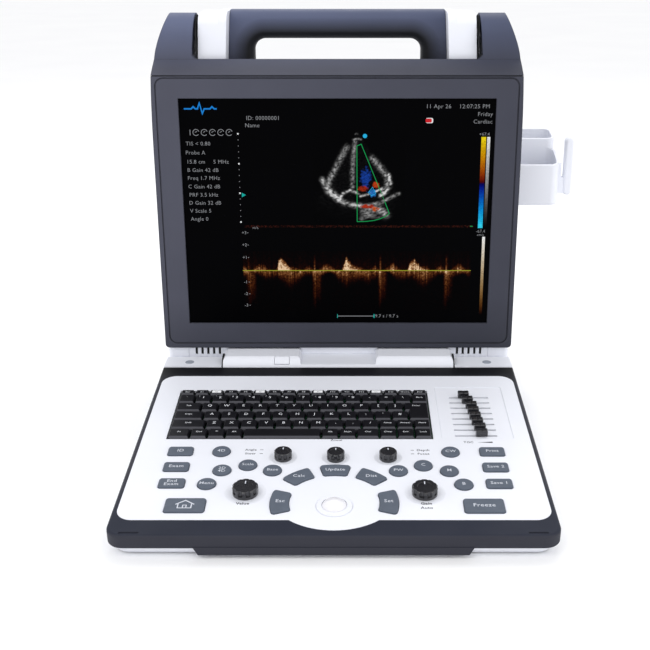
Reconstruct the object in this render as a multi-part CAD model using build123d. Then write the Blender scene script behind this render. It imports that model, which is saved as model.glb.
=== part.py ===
"""Portable ultrasound scanner: upright case, tilting display head, fold-up control deck.

Millimetres. X to the right, +Y away from the user, +Z up. The origin is the centre of the
main body's underside, level with its feet.
"""

import math
import os

from build123d import *

# ---------------------------------------------------------------- driving dimensions
DISPLAY_W = 304.1
DISPLAY_H = 228.1
BEZEL_SIDE = 26.05
BEZEL_ABOVE = 20.9
BEZEL_BELOW = 26.95
BODY_DEPTH = 121.0
BODY_W = 336.0
BODY_TOP_Z = 334.0
HEAD_BOTTOM_Z = 54.0
HEAD_DEPTH = 45.0
HANDLE_TOP_Z = 387.7
HANDLE_HALF_W = 105.0
GRIP_T = 27.4
GRIP_D = 27.0
DECK_W = 353.0
DECK_LEN = 276.5
DECK_SLOPE = 5.04
HINGE_Z = 40.0
WALL = 3.0

# ---------------------------------------------------------------- clearances
FIT = 0.05
SEAT = 0.2
HEAD_PROUD = 4.0

# ---------------------------------------------------------------- display head
BEZEL_D = 10.0
LIP = 2.0
LCD_T = 7.6
LCD_MARGIN = 2.0
SHELL_WALL = 2.5
SHELL_BACK_DROP = 30.0
SHELL_HEEL = 8.0
SEAM = 0.6
BAND_RISE = 13.45
BAND_RUN = 16.5
CREST_T = 4.0
EAR_R = 20.0
EAR_INNER = 134.5
EAR_WAIST = 139.0
EAR_FOOT = 135.6
EAR_NOTCH = 3.5
# Front view of the head's sides: how far they lean in from the full width at each height.
LEAN_START_Z = 255.0
HEAD_LEAN = ((1.4, 328.0), (3.8, 350.0), (11.0, 371.0), (17.2, 386.0))
GROOVE_SIDE = 4.5
GROOVE_LOW = 4.7
GROOVE_TOP = 1.2
GROOVE_W = 1.0
GROOVE_DEEP = 0.8
GROOVE_R = 8.5
BEZEL_CORNER = 4.0
TILT_BEHIND = 36.5
TILT_Z = 366.0
AXLE_R = 5.0
AXLE_REACH = 16.0
AXLE_ROOT = 21.0

# ---------------------------------------------------------------- body, handle, base
BASE_HALF_W = 176.5
BASE_CORNER = 5.0
BASE_SEAM_X = 155.0
BASE_SEAM_W = 0.5
BASE_TOP_GAP = 1.6
FLOOR_Z = 3.0
SHOULDER_OUT = 132.5
SHOULDER_LOW_OUT = 134.5
SHOULDER_TOP_Z = 386.0
SHOULDER_R = 10.0
SHOULDER_LIFT = 5.0
SHOULDER_BEHIND = 23.5
HANDLE_BEHIND = 4.0
HANDLE_FLARE = 3.0
LEG_W = 22.6
OPENING_R = 11.5
GRIP_FILLET = 9.0
VENT_W = 2.4
VENT_PITCH = 6.0
VENT_FIRST_X = 123.0
VENT_BOTTOM_Z = 45.3
VENTS = 5
SIDE_CORNER = 14.0
TOP_CHAMFER = 12.0
BEVEL_SHARE = 2 - math.sqrt(2)
RIDGE_OUT = (113.0, 114.0)
RIDGE_DROP = 0.4
DOCK_PAD_W = 124.0
DOCK_PAD_D = 60.0
DOCK_X = 100.0
DOCK_Y = 40.0
DOCK_HOLE_R = 1.65
DOCK_BOSS = 4.0
FOOT_R = 9.0
SCREW_R = 3.4
SCREW_H = 1.8
SCREW_SLOT = 0.8
FOOT_X = 145.0
FOOT_IN = 17.0

# ---------------------------------------------------------------- inside the body
FAN_SIZE = 80.0
FAN_T = 25.0
FAN_X = -95.0
FAN_Z = 250.0
FAN_HUB_R = 14.0
FAN_BLADES = 7
FAN_HOLE_PITCH = 71.5
FAN_HOLE_R = 2.15
FAN_RIM = 2.0
SPOKES = (90, 210, 330)
SPOKE_T = 3.0
BLADE_T = 1.6
BLADE_W = 17.0
BLADE_PITCH = 38.0
BLADE_CLEAR = 4.0
GRILLE_PITCH = 6.4
GRILLE_SLOT = 3.2
BATTERY_L = 98.0
BATTERY_BEHIND = 8.0
BATTERY_TO_BOARD = 6.0
BATTERY_Z = (60.0, 150.0)
SOCKET_D = 22.0
SOCKET_H = 62.0
SOCKET_FROM_BACK = 38.5
SOCKET_PROUD = 2.5
SOCKET_RECESS = 8.0
SOCKET_BODY = 16.0
SHROUD = 4.0
SOCKET_ZS = (58.0, 132.0)
BOARD_FROM_BACK = 30.5
MAIN_BOARD_X = (-150.0, 150.0)
MAIN_BOARD_Z = (22.0, 195.0)
SINK_X = (-40.0, 50.0)
SINK_Z = (110.0, 180.0)
SINK_T = 14.0
SINK_FINS = 8
PROBE_CARD_X = (60.0, 150.0)
PROBE_CARD_Z = (60.0, 180.0)
PROBE_CARD_AHEAD = 12.0
POST = 6.0
SUPPLY_X = (20.0, 150.0)
SUPPLY_Z = (205.0, 315.0)
CHOKE_X = (40.0, 80.0)
CHOKE_Z = (225.0, 265.0)
CHOKE_T = 22.0
CAPACITOR_X = (95.0, 135.0)
CAPACITOR_Z = (225.0, 295.0)
CAPACITOR_T = 16.0
LINK_X = (30.0, 60.0)
PORT_WALL = 1.2
PORT_DEPTH = 12.0
# name: centre X, centre Z, width, height
PORTS = {
    "inlet": (110.0, 40.0, 27.6, 20.0),
    "video": (60.0, 34.0, 34.0, 12.0),
    "network": (22.0, 36.0, 16.0, 14.0),
    "usb_left": (-4.0, 36.0, 14.0, 14.0),
    "usb_right": (-28.0, 36.0, 14.0, 14.0),
}

# ---------------------------------------------------------------- probe holder
CUP_STANDOFF = 3.5
CUP_W = 57.0
CUP_WALL = 2.6
CUP_CORNER = 9.0
CUP_FOOT_R = 4.0
CUP_REAR_LIFT = 6.0
CUP_TALL = 90.0
CUP_BEHIND = 11.5
CUP_FROM_BACK = 0.5
CUP_SHARE = 0.515
CUP_BOTTOM_Z = 190.0
CUP_FRONT_RIM = (232.4, 245.3)
CUP_REAR_RIM = (254.0, 260.0)
HOOK_GAP = 6.9
HOOK_BEHIND = 18.0
HOOK_D = 12.0
HOOK_Z = (198.5, 259.0)
HOOK_W = 8.7
HOOK_ROUND = 2.5
ARM_W = 8.0
ARM_Z = (200.5, 217.5)
FIN_W = 3.0
FIN_OUT = 4.0
FIN_TOP_Z = 232.5
LUG_Z = (198.0, 234.0)

# ---------------------------------------------------------------- fold hinge
HINGE_AHEAD = 18.0
EDGE_AHEAD = 14.27
PANEL_OVER_AXIS = 5.77
HUMP_GAP = 0.87
COVER_HALF = 116.5
KNUCKLE_IN = 118.0
KNUCKLE_OUT = 176.0
KNUCKLE_SHY = 0.5
SADDLE_HALF = 38.0
SADDLE_UP = 1.5
HUMP_ROUND = 4.0
PIN_IN_COVER = 20.0
PIN_OUT = 32.0
PIN_R = 4.0
POWER_W = 14.8
POWER_D = 8.5
POWER_X = -56.8
POWER_LEAN = 44.0
POWER_PROUD = 0.35
POWER_CORNER = 1.0
POWER_DEPTH = 3.5
POWER_FLANGE = 2.0
POWER_STEM = 6.0
KEY_SLIT = 0.3

# ---------------------------------------------------------------- control deck
RIM_D = 11.5
RIM_SIDE = 4.0
RIM_REAR = 19.7
RIM_FRONT = 20.1
RIM_CORNER = 14.0
PANEL_T = 3.0
PANEL_CORNER = 14.0
BULGE_HALF = 35.5
BULGE_OUT = 13.2
TUB_INSET = 2.0
TUB_CORNER = 16.0
TUB_CHAMFER = 5.0
TUB_BASE_Z = 1.0
SKID_R = 7.0
SKID_IN = 46.0
SKID_BACK = 25.0
TAB_HALF = 108.5
TAB_TAPER = 4.0
TAB_T = 2.4
TAB_BASE_Z = 3.0
RIM_ROUND = 2.5
SHELF_T = 2.0
LATCH_X = 157.5
LATCH_IN = 4.0
LATCH_SIZE = (15.5, 2.2)
LATCH_DEEP = 0.8
ABOVE_DECK = 80.0
BOARD_REAR_IN = 10.0
BOARD_DEPTH = 8.0
BOARD_T = 1.6

# ---------------------------------------------------------------- controls
BUTTON_R = 7.8
BUTTON_CORNER = 2.4
BUTTON_EDGE = 0.5
BUTTON_UP = 1.6
BUTTON_TRAVEL = 0.8
BUTTON_LIFT = 0.5
FLANGE_T = 1.2
FLANGE_OUT = 1.0
HOLE_CLEAR = 0.35
SHAFT_R = 2.0
SMALL_KNOB_R = 7.7
LARGE_KNOB_R = 10.6
KNOB_H = 6.6
KNOB_SINK = 0.4
KNOB_EDGE = 0.9
KNOB_GRIPS = 10
GRIP_SHARE = 0.2
GRIP_LOW = 1.6
DISH_DEEP = 1.0
DISH_GAP = 1.2
DISH_SHARE = 0.58
ENCODER = 12.0
SWITCH = 6.0
BALL_R = 12.0
BALL_SINK = 6.0
BALL_T = 237.4
RING_R = 15.0
RING_UP = 1.0
RING_EDGE = 0.7
SLIDERS = 8
SLIDER_U = 125.0
SLIDER_T0 = 62.4
SLIDER_PITCH = 9.81
SLOT_LEN = 37.5
SLOT_W = 2.4
SLIDER_FIELD_U = (94.0, 158.0)
SLIDER_FIELD_T = (42.0, 137.0)
SLIDER_FIELD_DEEP = 0.5
SLIDER_CAP = (10.4, 5.6)
SLIDER_UP = (0.5, 6.2)
SLIDER_EDGE = 0.7
SLIDER_MARK = 1.2
SLIDER_STEM = (5.0, 1.4)
TRACK_W = 7.4
TRACK_GROOVE = 3.4
KEY_BLOCK_W = 236.4
KEY_U0 = -150.5
KEY_T0 = 50.0
KEY_ROWS = (9.4, 15.5, 15.5, 15.5, 15.5, 15.5)
KEY_GAP = 1.2
KEY_WELL = 1.0
KEY_UP = 2.0
KEY_TRAVEL = 1.5
KEY_TAPER = 32.0

# ---------------------------------------------------------------- worked out from the above
HEAD_W = DISPLAY_W + 2 * BEZEL_SIDE
HEAD_H = DISPLAY_H + BEZEL_ABOVE + BEZEL_BELOW
HEAD_TOP_Z = HEAD_BOTTOM_Z + HEAD_H
DISPLAY_Z = HEAD_BOTTOM_Z + BEZEL_BELOW + DISPLAY_H / 2
BODY_FRONT = -BODY_DEPTH / 2
BODY_BACK = BODY_DEPTH / 2
HEAD_FRONT = BODY_FRONT - HEAD_PROUD
HEAD_BACK = HEAD_FRONT + HEAD_DEPTH
PLATE_FRONT = HEAD_BACK + 2.5
PLATE_BACK = PLATE_FRONT + WALL
BAND_Z = HEAD_TOP_Z + SEAM
CREST_Z = BAND_Z + BAND_RISE
CREST_Y = HEAD_FRONT + BAND_RUN
BASE_TOP_Z = HEAD_BOTTOM_Z - BASE_TOP_GAP
HINGE_Y = BODY_FRONT - HINGE_AHEAD
EDGE_Y = HINGE_Y - EDGE_AHEAD
SLOPE = math.radians(DECK_SLOPE)
EDGE_Z = HINGE_Z + (PANEL_OVER_AXIS - EDGE_AHEAD * math.sin(SLOPE)) / math.cos(SLOPE)
HUMP_R = EDGE_AHEAD - HUMP_GAP
RIM_HALF = DECK_W / 2
PANEL_HALF = RIM_HALF - RIM_SIDE
PANEL_T0 = RIM_REAR
PANEL_T1 = DECK_LEN - RIM_FRONT
TILT_Y = HEAD_FRONT + TILT_BEHIND
SHOULDER_FRONT_Y = HEAD_FRONT + SHOULDER_BEHIND
HANDLE_FRONT_Y = HEAD_BACK + HANDLE_BEHIND
HANDLE_BACK = HANDLE_FRONT_Y + GRIP_D
BOARD_Y = BODY_BACK - BOARD_FROM_BACK
BATTERY_Y = (PLATE_BACK + BATTERY_BEHIND, BOARD_Y - BATTERY_TO_BOARD)
SOCKET_Y = BODY_BACK - SOCKET_FROM_BACK
HANDLE_LEAN = HANDLE_FLARE / (HANDLE_TOP_Z - BODY_TOP_Z)
SHELL_TOP_Z = TILT_Z - SHELL_BACK_DROP
SHOULDER_BOTTOM_Z = SHELL_TOP_Z + SHOULDER_LIFT
KEY_BLOCK_D = sum(KEY_ROWS)
SWITCH_TOP = PANEL_T + BUTTON_LIFT + FLANGE_T + BUTTON_TRAVEL + 0.3
KEY_BED = 2.2
KEY_FOOT = -BOARD_DEPTH + KEY_BED + KEY_TRAVEL + 0.5
FAN_BACK = BODY_BACK - WALL - 0.5
CUP_X = (BODY_W / 2 + CUP_STANDOFF, BODY_W / 2 + CUP_STANDOFF + CUP_W)
HOOK_X = CUP_X[1] + HOOK_GAP + HOOK_W / 2
CUP_REAR_EDGE = BODY_BACK - CUP_FROM_BACK
CUP_FRONT_EDGE = HEAD_BACK + CUP_BEHIND
CUP_SPLIT = CUP_FRONT_EDGE + CUP_SHARE * (CUP_REAR_EDGE - CUP_FRONT_EDGE)
CUP_FRONT_Y = (CUP_FRONT_EDGE, CUP_SPLIT)
CUP_REAR_Y = (CUP_SPLIT, CUP_REAR_EDGE)
HOOK_Y = CUP_FRONT_EDGE + HOOK_BEHIND

# Rest places of the gain sliders along their slots, a typical time-gain curve.
SLIDER_OFFSETS = (-5.0, -2.2, 0.5, 1.4, 2.1, 3.0, 4.2, 4.8)
ROUND_BUTTONS = {
    "button_dual": (-99.2, 158.5),
    "button_quad": (-95.5, 187.7),
    "button_scale": (-74.3, 179.9),
    "button_menu": (-105.8, 207.8),
    "button_baseline": (-52.9, 187.9),
    "button_cw": (99.6, 159.4),
    "button_colour": (74.6, 180.6),
    "button_m_mode": (96.0, 188.9),
    "button_b_mode": (106.3, 208.7),
    "button_pulse_wave": (53.2, 188.6),
}
# name: centre u, centre t, width, depth
WIDE_BUTTONS = {
    "button_patient": (-134.7, 158.3, 21.6, 13.0),
    "button_exam": (-134.7, 182.6, 21.6, 13.0),
    "button_end_exam": (-134.8, 206.9, 21.6, 13.0),
    "button_home": (-119.3, 237.9, 32.4, 18.4),
    "button_print": (135.7, 159.0, 21.6, 13.0),
    "button_store_clip": (135.7, 183.3, 21.6, 13.0),
    "button_store_image": (135.7, 207.6, 21.6, 13.0),
    "button_freeze": (119.7, 238.6, 32.4, 18.4),
}
ARC_W = 15.2
FAR_ARC = (BALL_T, 42.3)
NEAR_ARC = (BALL_T - 4.4, 36.6)
# name: centre t and inner radius of its ring, mean angle from straight ahead, half sweep
ARC_BUTTONS = {
    "button_update": (*FAR_ARC, 0.0, 13.2),
    "button_calculate": (*FAR_ARC, 36.5, 13.3),
    "button_measure": (*FAR_ARC, -36.5, 13.3),
    "button_back": (*NEAR_ARC, 90.0, 18.5),
    "button_set": (*NEAR_ARC, -90.0, 18.5),
}
KNOBS = {
    "knob_steer": (-45.2, 166.2, SMALL_KNOB_R),
    "knob_zoom": (0.1, 167.0, SMALL_KNOB_R),
    "knob_depth": (45.2, 167.0, SMALL_KNOB_R),
    "knob_value": (-72.8, 218.8, LARGE_KNOB_R),
    "knob_gain": (73.4, 219.5, LARGE_KNOB_R),
}
# One row of key widths per line, in key units.
KEY_WIDTHS = (
    [1.0] * 17,
    [1.0] * 15,
    [1.5] + [1.0] * 12 + [1.5],
    [1.75] + [1.0] * 12 + [1.25],
    [2.0] + [1.0] * 13,
    [1.25, 1.0, 1.0, 1.0, 4.45, 1.0, 1.0, 1.3, 1.0, 1.0, 1.0],
)
ENTER_ROW = 2


def block(x, y, z):
    """Box between the two limits given for each axis."""
    size = [pair[1] - pair[0] for pair in (x, y, z)]
    middle = [(pair[1] + pair[0]) / 2 for pair in (x, y, z)]
    return Pos(*middle) * Box(*size)


def side_extrude(points, half_width):
    """Closed outline in Y and Z, drawn out to both sides of the mid-plane."""
    face = Plane.YZ * make_face(Polyline(*points, close=True))
    return extrude(face, half_width, both=True)


def rod_x(x, y, z, radius):
    """Round bar along X between two X values."""
    bar = Rot(0, 90, 0) * Cylinder(radius, x[1] - x[0])
    return Pos((x[0] + x[1]) / 2, y, z) * bar


def both_sides(solid):
    """The solid and its mirror image in the mid-plane."""
    return [solid, mirror(solid, Plane.YZ)]


def on_deck(u, t, n=0.0):
    """Place on the deck: u to the right, t from the rear edge to the user, n above the panel."""
    return Pos(0, EDGE_Y, EDGE_Z) * Rot(DECK_SLOPE, 0, 0) * Pos(u, -t, n)


def slab(sketch, low, high):
    """A deck sketch drawn up between two heights above the panel."""
    return extrude(Pos(0, 0, low) * sketch, high - low)


def rounded(width, depth, radius):
    """Rectangle with round corners, never rounder than the rectangle allows."""
    return RectangleRounded(width, depth, min(radius, width / 2 - 0.1, depth / 2 - 0.1))


# ---------------------------------------------------------------- display head
def make_bezel():
    """Front frame around the display, with a lip that holds the panel."""
    front = (HEAD_FRONT, HEAD_FRONT + BEZEL_D)
    half = HEAD_W / 2
    frame = block((-half, half), front, (HEAD_BOTTOM_Z, HEAD_TOP_Z))
    low_edges = frame.edges().filter_by(Axis.Y).group_by(Axis.Z)[0]
    frame = fillet(low_edges, BEZEL_CORNER) & head_outline()
    window_z = (DISPLAY_Z - DISPLAY_H / 2, DISPLAY_Z + DISPLAY_H / 2)
    frame -= block((-DISPLAY_W / 2, DISPLAY_W / 2), (front[0] - 1, front[1] + 1), window_z)
    pocket_half = DISPLAY_W / 2 + LCD_MARGIN + SEAT
    pocket_z = (window_z[0] - LCD_MARGIN - SEAT, window_z[1] + LCD_MARGIN + SEAT)
    frame -= block((-pocket_half, pocket_half), (front[0] + LIP, front[1] + 1), pocket_z)
    groove_w = HEAD_W - 2 * GROOVE_SIDE
    groove_h = HEAD_H - GROOVE_LOW - GROOVE_TOP
    groove = RectangleRounded(groove_w, groove_h, GROOVE_R)
    groove -= RectangleRounded(groove_w - 2 * GROOVE_W, groove_h - 2 * GROOVE_W, GROOVE_R - GROOVE_W)
    channel = extrude(Plane.XZ * groove, -GROOVE_DEEP)
    return frame - Pos(0, front[0], HEAD_BOTTOM_Z + GROOVE_LOW + groove_h / 2) * channel


def make_lcd():
    """Flat display panel behind the bezel's lip."""
    half = DISPLAY_W / 2 + LCD_MARGIN
    front = HEAD_FRONT + LIP + SEAT
    z = (DISPLAY_Z - DISPLAY_H / 2 - LCD_MARGIN, DISPLAY_Z + DISPLAY_H / 2 + LCD_MARGIN)
    return block((-half, half), (front, front + LCD_T), z)


def head_outline():
    """Front view of the display head: straight sides, then sides that lean in to the ears."""
    half = HEAD_W / 2
    right = [(half, LEAN_START_Z)] + [(half - lean, z) for lean, z in HEAD_LEAN]
    left = [(-x, z) for x, z in reversed(right)]
    end = (HEAD_LEAN[-1][0] - HEAD_LEAN[-2][0], HEAD_LEAN[-1][1] - HEAD_LEAN[-2][1])
    edges = [
        Line((-half, HEAD_BOTTOM_Z), (half, HEAD_BOTTOM_Z)),
        Line((half, HEAD_BOTTOM_Z), right[0]),
        Spline(*right, tangents=[(0, 1), (-end[0], end[1])]),
        Line(right[-1], left[0]),
        Spline(*left, tangents=[(-end[0], -end[1]), (0, -1)]),
        Line(left[-1], (-half, HEAD_BOTTOM_Z)),
    ]
    face = Plane.XZ * make_face(edges)
    return Pos(0, BODY_BACK, 0) * extrude(face, 2 * BODY_DEPTH)


def ear_gap():
    """Space between the ears, widest just above the band's crest."""
    right = [
        (EAR_INNER, TILT_Z + 2 * EAR_R),
        (EAR_WAIST, CREST_Z + EAR_NOTCH),
        (EAR_FOOT, CREST_Z),
        (EAR_FOOT, SHELL_TOP_Z - 2 * EAR_R),
    ]
    left = [(-x, z) for x, z in reversed(right)]
    face = Plane.XZ * make_face(Polyline(*right, *left, close=True))
    return Pos(0, BODY_BACK, 0) * extrude(face, 2 * BODY_DEPTH)


def make_head_shell():
    """Back cover of the head with its top band and the two pivot ears."""
    joint_y = HEAD_FRONT + BEZEL_D + SEAT
    cover = side_extrude(
        [
            (joint_y, HEAD_BOTTOM_Z),
            (joint_y, BAND_Z),
            (HEAD_FRONT, BAND_Z),
            (CREST_Y, CREST_Z),
            (CREST_Y + CREST_T, CREST_Z),
            (CREST_Y + 1.5 * CREST_T, SHELL_TOP_Z),
            (HEAD_BACK, SHELL_TOP_Z),
            (HEAD_BACK, HEAD_BOTTOM_Z + SHELL_HEEL),
            (HEAD_BACK - SHELL_HEEL, HEAD_BOTTOM_Z),
        ],
        HEAD_W / 2,
    )
    ear_side = side_extrude(
        [
            (CREST_Y, SHELL_TOP_Z - EAR_R / 2),
            (CREST_Y, TILT_Z),
            (TILT_Y + EAR_R, TILT_Z),
            (HEAD_BACK, SHELL_TOP_Z - EAR_R / 2),
        ],
        HEAD_W / 2,
    )
    ear_side += rod_x((-HEAD_W / 2, HEAD_W / 2), TILT_Y, TILT_Z, EAR_R)
    shell = (cover + (ear_side - ear_gap())) & head_outline()
    inside = block(
        (-HEAD_W / 2 + SHELL_WALL, HEAD_W / 2 - SHELL_WALL),
        (joint_y - 1, HEAD_BACK - SHELL_WALL),
        (HEAD_BOTTOM_Z + SHELL_HEEL, BAND_Z - SHELL_WALL),
    )
    shell -= inside
    bore = rod_x((EAR_INNER - 1, EAR_INNER + AXLE_REACH + 1), TILT_Y, TILT_Z, AXLE_R + FIT)
    for hole in both_sides(bore):
        shell -= hole
    return shell


# ---------------------------------------------------------------- body
def body_block(front, inset, low, top):
    """Body's upright outline with round rear corners and a bevelled top, shrunk by an inset."""
    half = BODY_W / 2 - inset
    shape = block((-half, half), (front, BODY_BACK - inset), (low, top))
    shape = fillet(shape.edges().filter_by(Axis.Z).group_by(Axis.Y)[-1], SIDE_CORNER - inset)
    rear_top = shape.edges().filter_by(Axis.X).group_by(Axis.Z)[-1].group_by(Axis.Y)[-1]
    return chamfer(rear_top, TOP_CHAMFER - BEVEL_SHARE * inset)


def dock_place(low, height):
    """A pad of the docking interface, between a height and that height plus its thickness."""
    return slab(RectangleRounded(DOCK_PAD_W, DOCK_PAD_D, 6), low, low + height)


def make_base_chassis():
    """Base tray, upright plate behind the head and the low front box with its vent slots."""
    half = BODY_W / 2
    chassis = block((-half, half), (BODY_FRONT, BODY_BACK), (FLOOR_Z, FLOOR_Z + WALL))
    chassis = fillet(chassis.edges().filter_by(Axis.Z).group_by(Axis.Y)[-1], SIDE_CORNER)
    front_box = block((-BASE_HALF_W, BASE_HALF_W), (BODY_FRONT, PLATE_FRONT), (FLOOR_Z, BASE_TOP_Z))
    front_box = fillet(front_box.edges().filter_by(Axis.Z).group_by(Axis.Y)[0], BASE_CORNER)
    front_box -= block(
        (-BASE_HALF_W + WALL, BASE_HALF_W - WALL),
        (BODY_FRONT + WALL, PLATE_FRONT + 1),
        (FLOOR_Z + WALL, BASE_TOP_Z - WALL),
    )
    plate = block((-half, half), (PLATE_FRONT, PLATE_BACK), (BASE_TOP_Z - WALL, BODY_TOP_Z))
    plate &= body_block(PLATE_FRONT - 5, WALL + SEAT, FLOOR_Z, BODY_TOP_Z - WALL - SEAT)
    chassis += front_box
    chassis += plate
    for number in range(VENTS):
        x = VENT_FIRST_X + number * VENT_PITCH
        slot = block(
            (x - VENT_W / 2, x + VENT_W / 2),
            (BODY_FRONT - 1, BODY_FRONT + WALL + 1),
            (VENT_BOTTOM_Z, BASE_TOP_Z + 1),
        )
        for cut in both_sides(slot):
            chassis -= cut
    seam_x = (BASE_SEAM_X - BASE_SEAM_W / 2, BASE_SEAM_X + BASE_SEAM_W / 2)
    seam_y = (BODY_FRONT - 1, BODY_FRONT + BASE_SEAM_W)
    for cut in both_sides(block(seam_x, seam_y, (FLOOR_Z, BASE_TOP_Z))):
        chassis -= cut
    chassis += dock_place(0, FLOOR_Z + 0.5)
    chassis += dock_place(FLOOR_Z + WALL - 0.5, DOCK_BOSS)
    for x in (-DOCK_X / 2, DOCK_X / 2):
        for y in (-DOCK_Y / 2, DOCK_Y / 2):
            chassis -= Pos(x, y, 0) * Cylinder(DOCK_HOLE_R, 4 * FLOOR_Z + 4 * DOCK_BOSS)
    return chassis


def make_rear_housing():
    """White rear cover: sides, back, top and the two shoulders that carry handle and head."""
    low = FLOOR_Z + WALL
    housing = body_block(PLATE_FRONT + SEAT, 0, low, BODY_TOP_Z)
    housing -= body_block(PLATE_FRONT - 1, WALL, low - 1, BODY_TOP_Z - WALL)
    for side in (-1, 1):
        housing += shoulder(side, (SHOULDER_OUT, SHOULDER_LOW_OUT), SHOULDER_TOP_Z)
        housing += shoulder(side, RIDGE_OUT, HANDLE_TOP_Z - RIDGE_DROP)
    bore = rod_x((SHOULDER_OUT - AXLE_ROOT - 1, SHOULDER_LOW_OUT + 1), TILT_Y, TILT_Z, AXLE_R + FIT)
    for hole in both_sides(bore):
        housing -= hole
    for cut in fan_slots() + rear_openings():
        housing -= cut
    side = -BODY_W / 2
    housing -= block(
        (side - 1, side + WALL + 1),
        (BATTERY_Y[0] - SEAT, BATTERY_Y[1] + SEAT),
        (BATTERY_Z[0] - SEAT, BATTERY_Z[1] + SEAT),
    )
    for z in SOCKET_ZS:
        mouth = Box(SOCKET_BODY, SOCKET_D + 2 * SEAT, SOCKET_H + 2 * SEAT)
        housing -= Pos(-side, SOCKET_Y, z) * mouth
    return housing


def shoulder(side, outer, top):
    """White shoulder against the handle's leg, with the outer face's X at its top and foot."""
    front = SHOULDER_FRONT_Y
    foot_front = PLATE_FRONT + SEAT
    foot_back = BODY_BACK - TOP_CHAMFER - 4
    foot_z = BODY_TOP_Z - 1
    nick = SHOULDER_R * (1 - math.sqrt(0.5))
    bend = [(front, top - SHOULDER_R), (front + nick, top - nick), (front + SHOULDER_R, top)]
    outline = [
        Line((front, SHOULDER_BOTTOM_Z), bend[0]),
        ThreePointArc(*bend),
        Line(bend[2], (HANDLE_BACK, top)),
        Line((HANDLE_BACK, top), (foot_back, foot_z)),
        Line((foot_back, foot_z), (foot_front, foot_z)),
        Line((foot_front, foot_z), (foot_front, SHOULDER_BOTTOM_Z)),
        Line((foot_front, SHOULDER_BOTTOM_Z), (front, SHOULDER_BOTTOM_Z)),
    ]
    piece = extrude(Plane.YZ * make_face(outline), outer[1] + 1)
    inner = [HANDLE_HALF_W + SEAT + HANDLE_LEAN * (HANDLE_TOP_Z - z) for z in (foot_z, top)]
    corners = [
        (inner[0], foot_z),
        (outer[1], foot_z),
        (outer[1], SHOULDER_BOTTOM_Z),
        (outer[0], top),
        (inner[1], top),
    ]
    sides = Plane.XZ * make_face(Polyline(*corners, close=True))
    piece &= Pos(0, BODY_BACK, 0) * extrude(sides, 2 * BODY_DEPTH)
    if side < 0:
        piece = mirror(piece, Plane.YZ)
    return piece


def make_handle():
    """Carry handle: grip bar and two legs that stand on the body's top."""
    top = HANDLE_TOP_Z
    under = top - GRIP_T
    foot = BODY_TOP_Z
    inside = HANDLE_HALF_W - LEG_W
    outline = make_face(
        Polyline(
            (-HANDLE_HALF_W - HANDLE_FLARE, foot),
            (-HANDLE_HALF_W, top),
            (HANDLE_HALF_W, top),
            (HANDLE_HALF_W + HANDLE_FLARE, foot),
            close=True,
        )
    )
    hole_z = (foot - GRIP_T, under)
    hole = RectangleRounded(2 * inside, hole_z[1] - hole_z[0], OPENING_R)
    hole = Pos(0, (hole_z[0] + hole_z[1]) / 2) * hole
    profile = Plane.XZ * (outline - hole)
    bar = Pos(0, HANDLE_BACK, 0) * extrude(profile, GRIP_D)
    top_edges = bar.edges().filter_by(Axis.X).group_by(Axis.Z)[-1]
    bar = fillet(top_edges, GRIP_FILLET)
    inner_edges = [
        edge
        for edge in bar.edges()
        if abs(edge.center().X) < inside + 1
        and edge.center().Z > foot + 1
        and edge.center().Z < under + 1
        and (abs(edge.center().Y - HANDLE_FRONT_Y) < 0.1 or abs(edge.center().Y - HANDLE_BACK) < 0.1)
    ]
    return fillet(inner_edges, GRIP_FILLET)


def cover_outline(top):
    """Front view of the hinge cover: two humps with round ends and the low saddle between."""
    low = HINGE_Z - HUMP_R - 1
    hump = Rectangle(COVER_HALF - SADDLE_HALF, top - low)
    hump = fillet(hump.vertices().group_by(Axis.Y)[-1], HUMP_ROUND)
    middle = (COVER_HALF + SADDLE_HALF) / 2
    saddle_z = EDGE_Z + SADDLE_UP
    face = Pos(middle, (top + low) / 2) * hump
    face += Pos(-middle, (top + low) / 2) * hump
    face += Pos(0, (saddle_z + low) / 2) * Rectangle(2 * SADDLE_HALF + 2, saddle_z - low)
    return Pos(0, BODY_FRONT, 0) * extrude(Plane.XZ * face, BODY_DEPTH)


def make_hinge_cover():
    """Fixed centre part of the fold hinge: two round humps with a saddle between them."""
    top = min(HINGE_Z + HUMP_R, BASE_TOP_Z)
    cover = rod_x((-COVER_HALF, COVER_HALF), HINGE_Y, HINGE_Z, HUMP_R)
    cover += block((-COVER_HALF, COVER_HALF), (HINGE_Y, BODY_FRONT), (HINGE_Z - PIN_R - WALL, top))
    cover &= cover_outline(top)
    pin_hole = (COVER_HALF - PIN_IN_COVER - 2, COVER_HALF + 1)
    for bore in both_sides(rod_x(pin_hole, HINGE_Y, HINGE_Z, PIN_R + FIT)):
        cover -= bore
    well = rounded(POWER_W + 2 * KEY_SLIT, POWER_D + 2 * KEY_SLIT, POWER_CORNER)
    cover -= power_place() * slab(well, -POWER_STEM - 3, HUMP_R)
    return cover


def power_place():
    """Place of the power key, on the left hump's sloping front."""
    place = Pos(POWER_X, HINGE_Y, HINGE_Z) * Rot(POWER_LEAN, 0, 0)
    return place * Pos(0, 0, HUMP_R)


def make_power_button():
    """Small square key on the left hump, curved like the hump so the deck clears it."""
    cap = slab(rounded(POWER_W, POWER_D, POWER_CORNER), -POWER_DEPTH, POWER_DEPTH)
    stem = rounded(POWER_W - POWER_FLANGE, POWER_D - POWER_FLANGE, POWER_CORNER)
    key = power_place() * (cap + slab(stem, -POWER_STEM, -POWER_DEPTH))
    return key & rod_x((-COVER_HALF, COVER_HALF), HINGE_Y, HINGE_Z, HUMP_R + POWER_PROUD)


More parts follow.
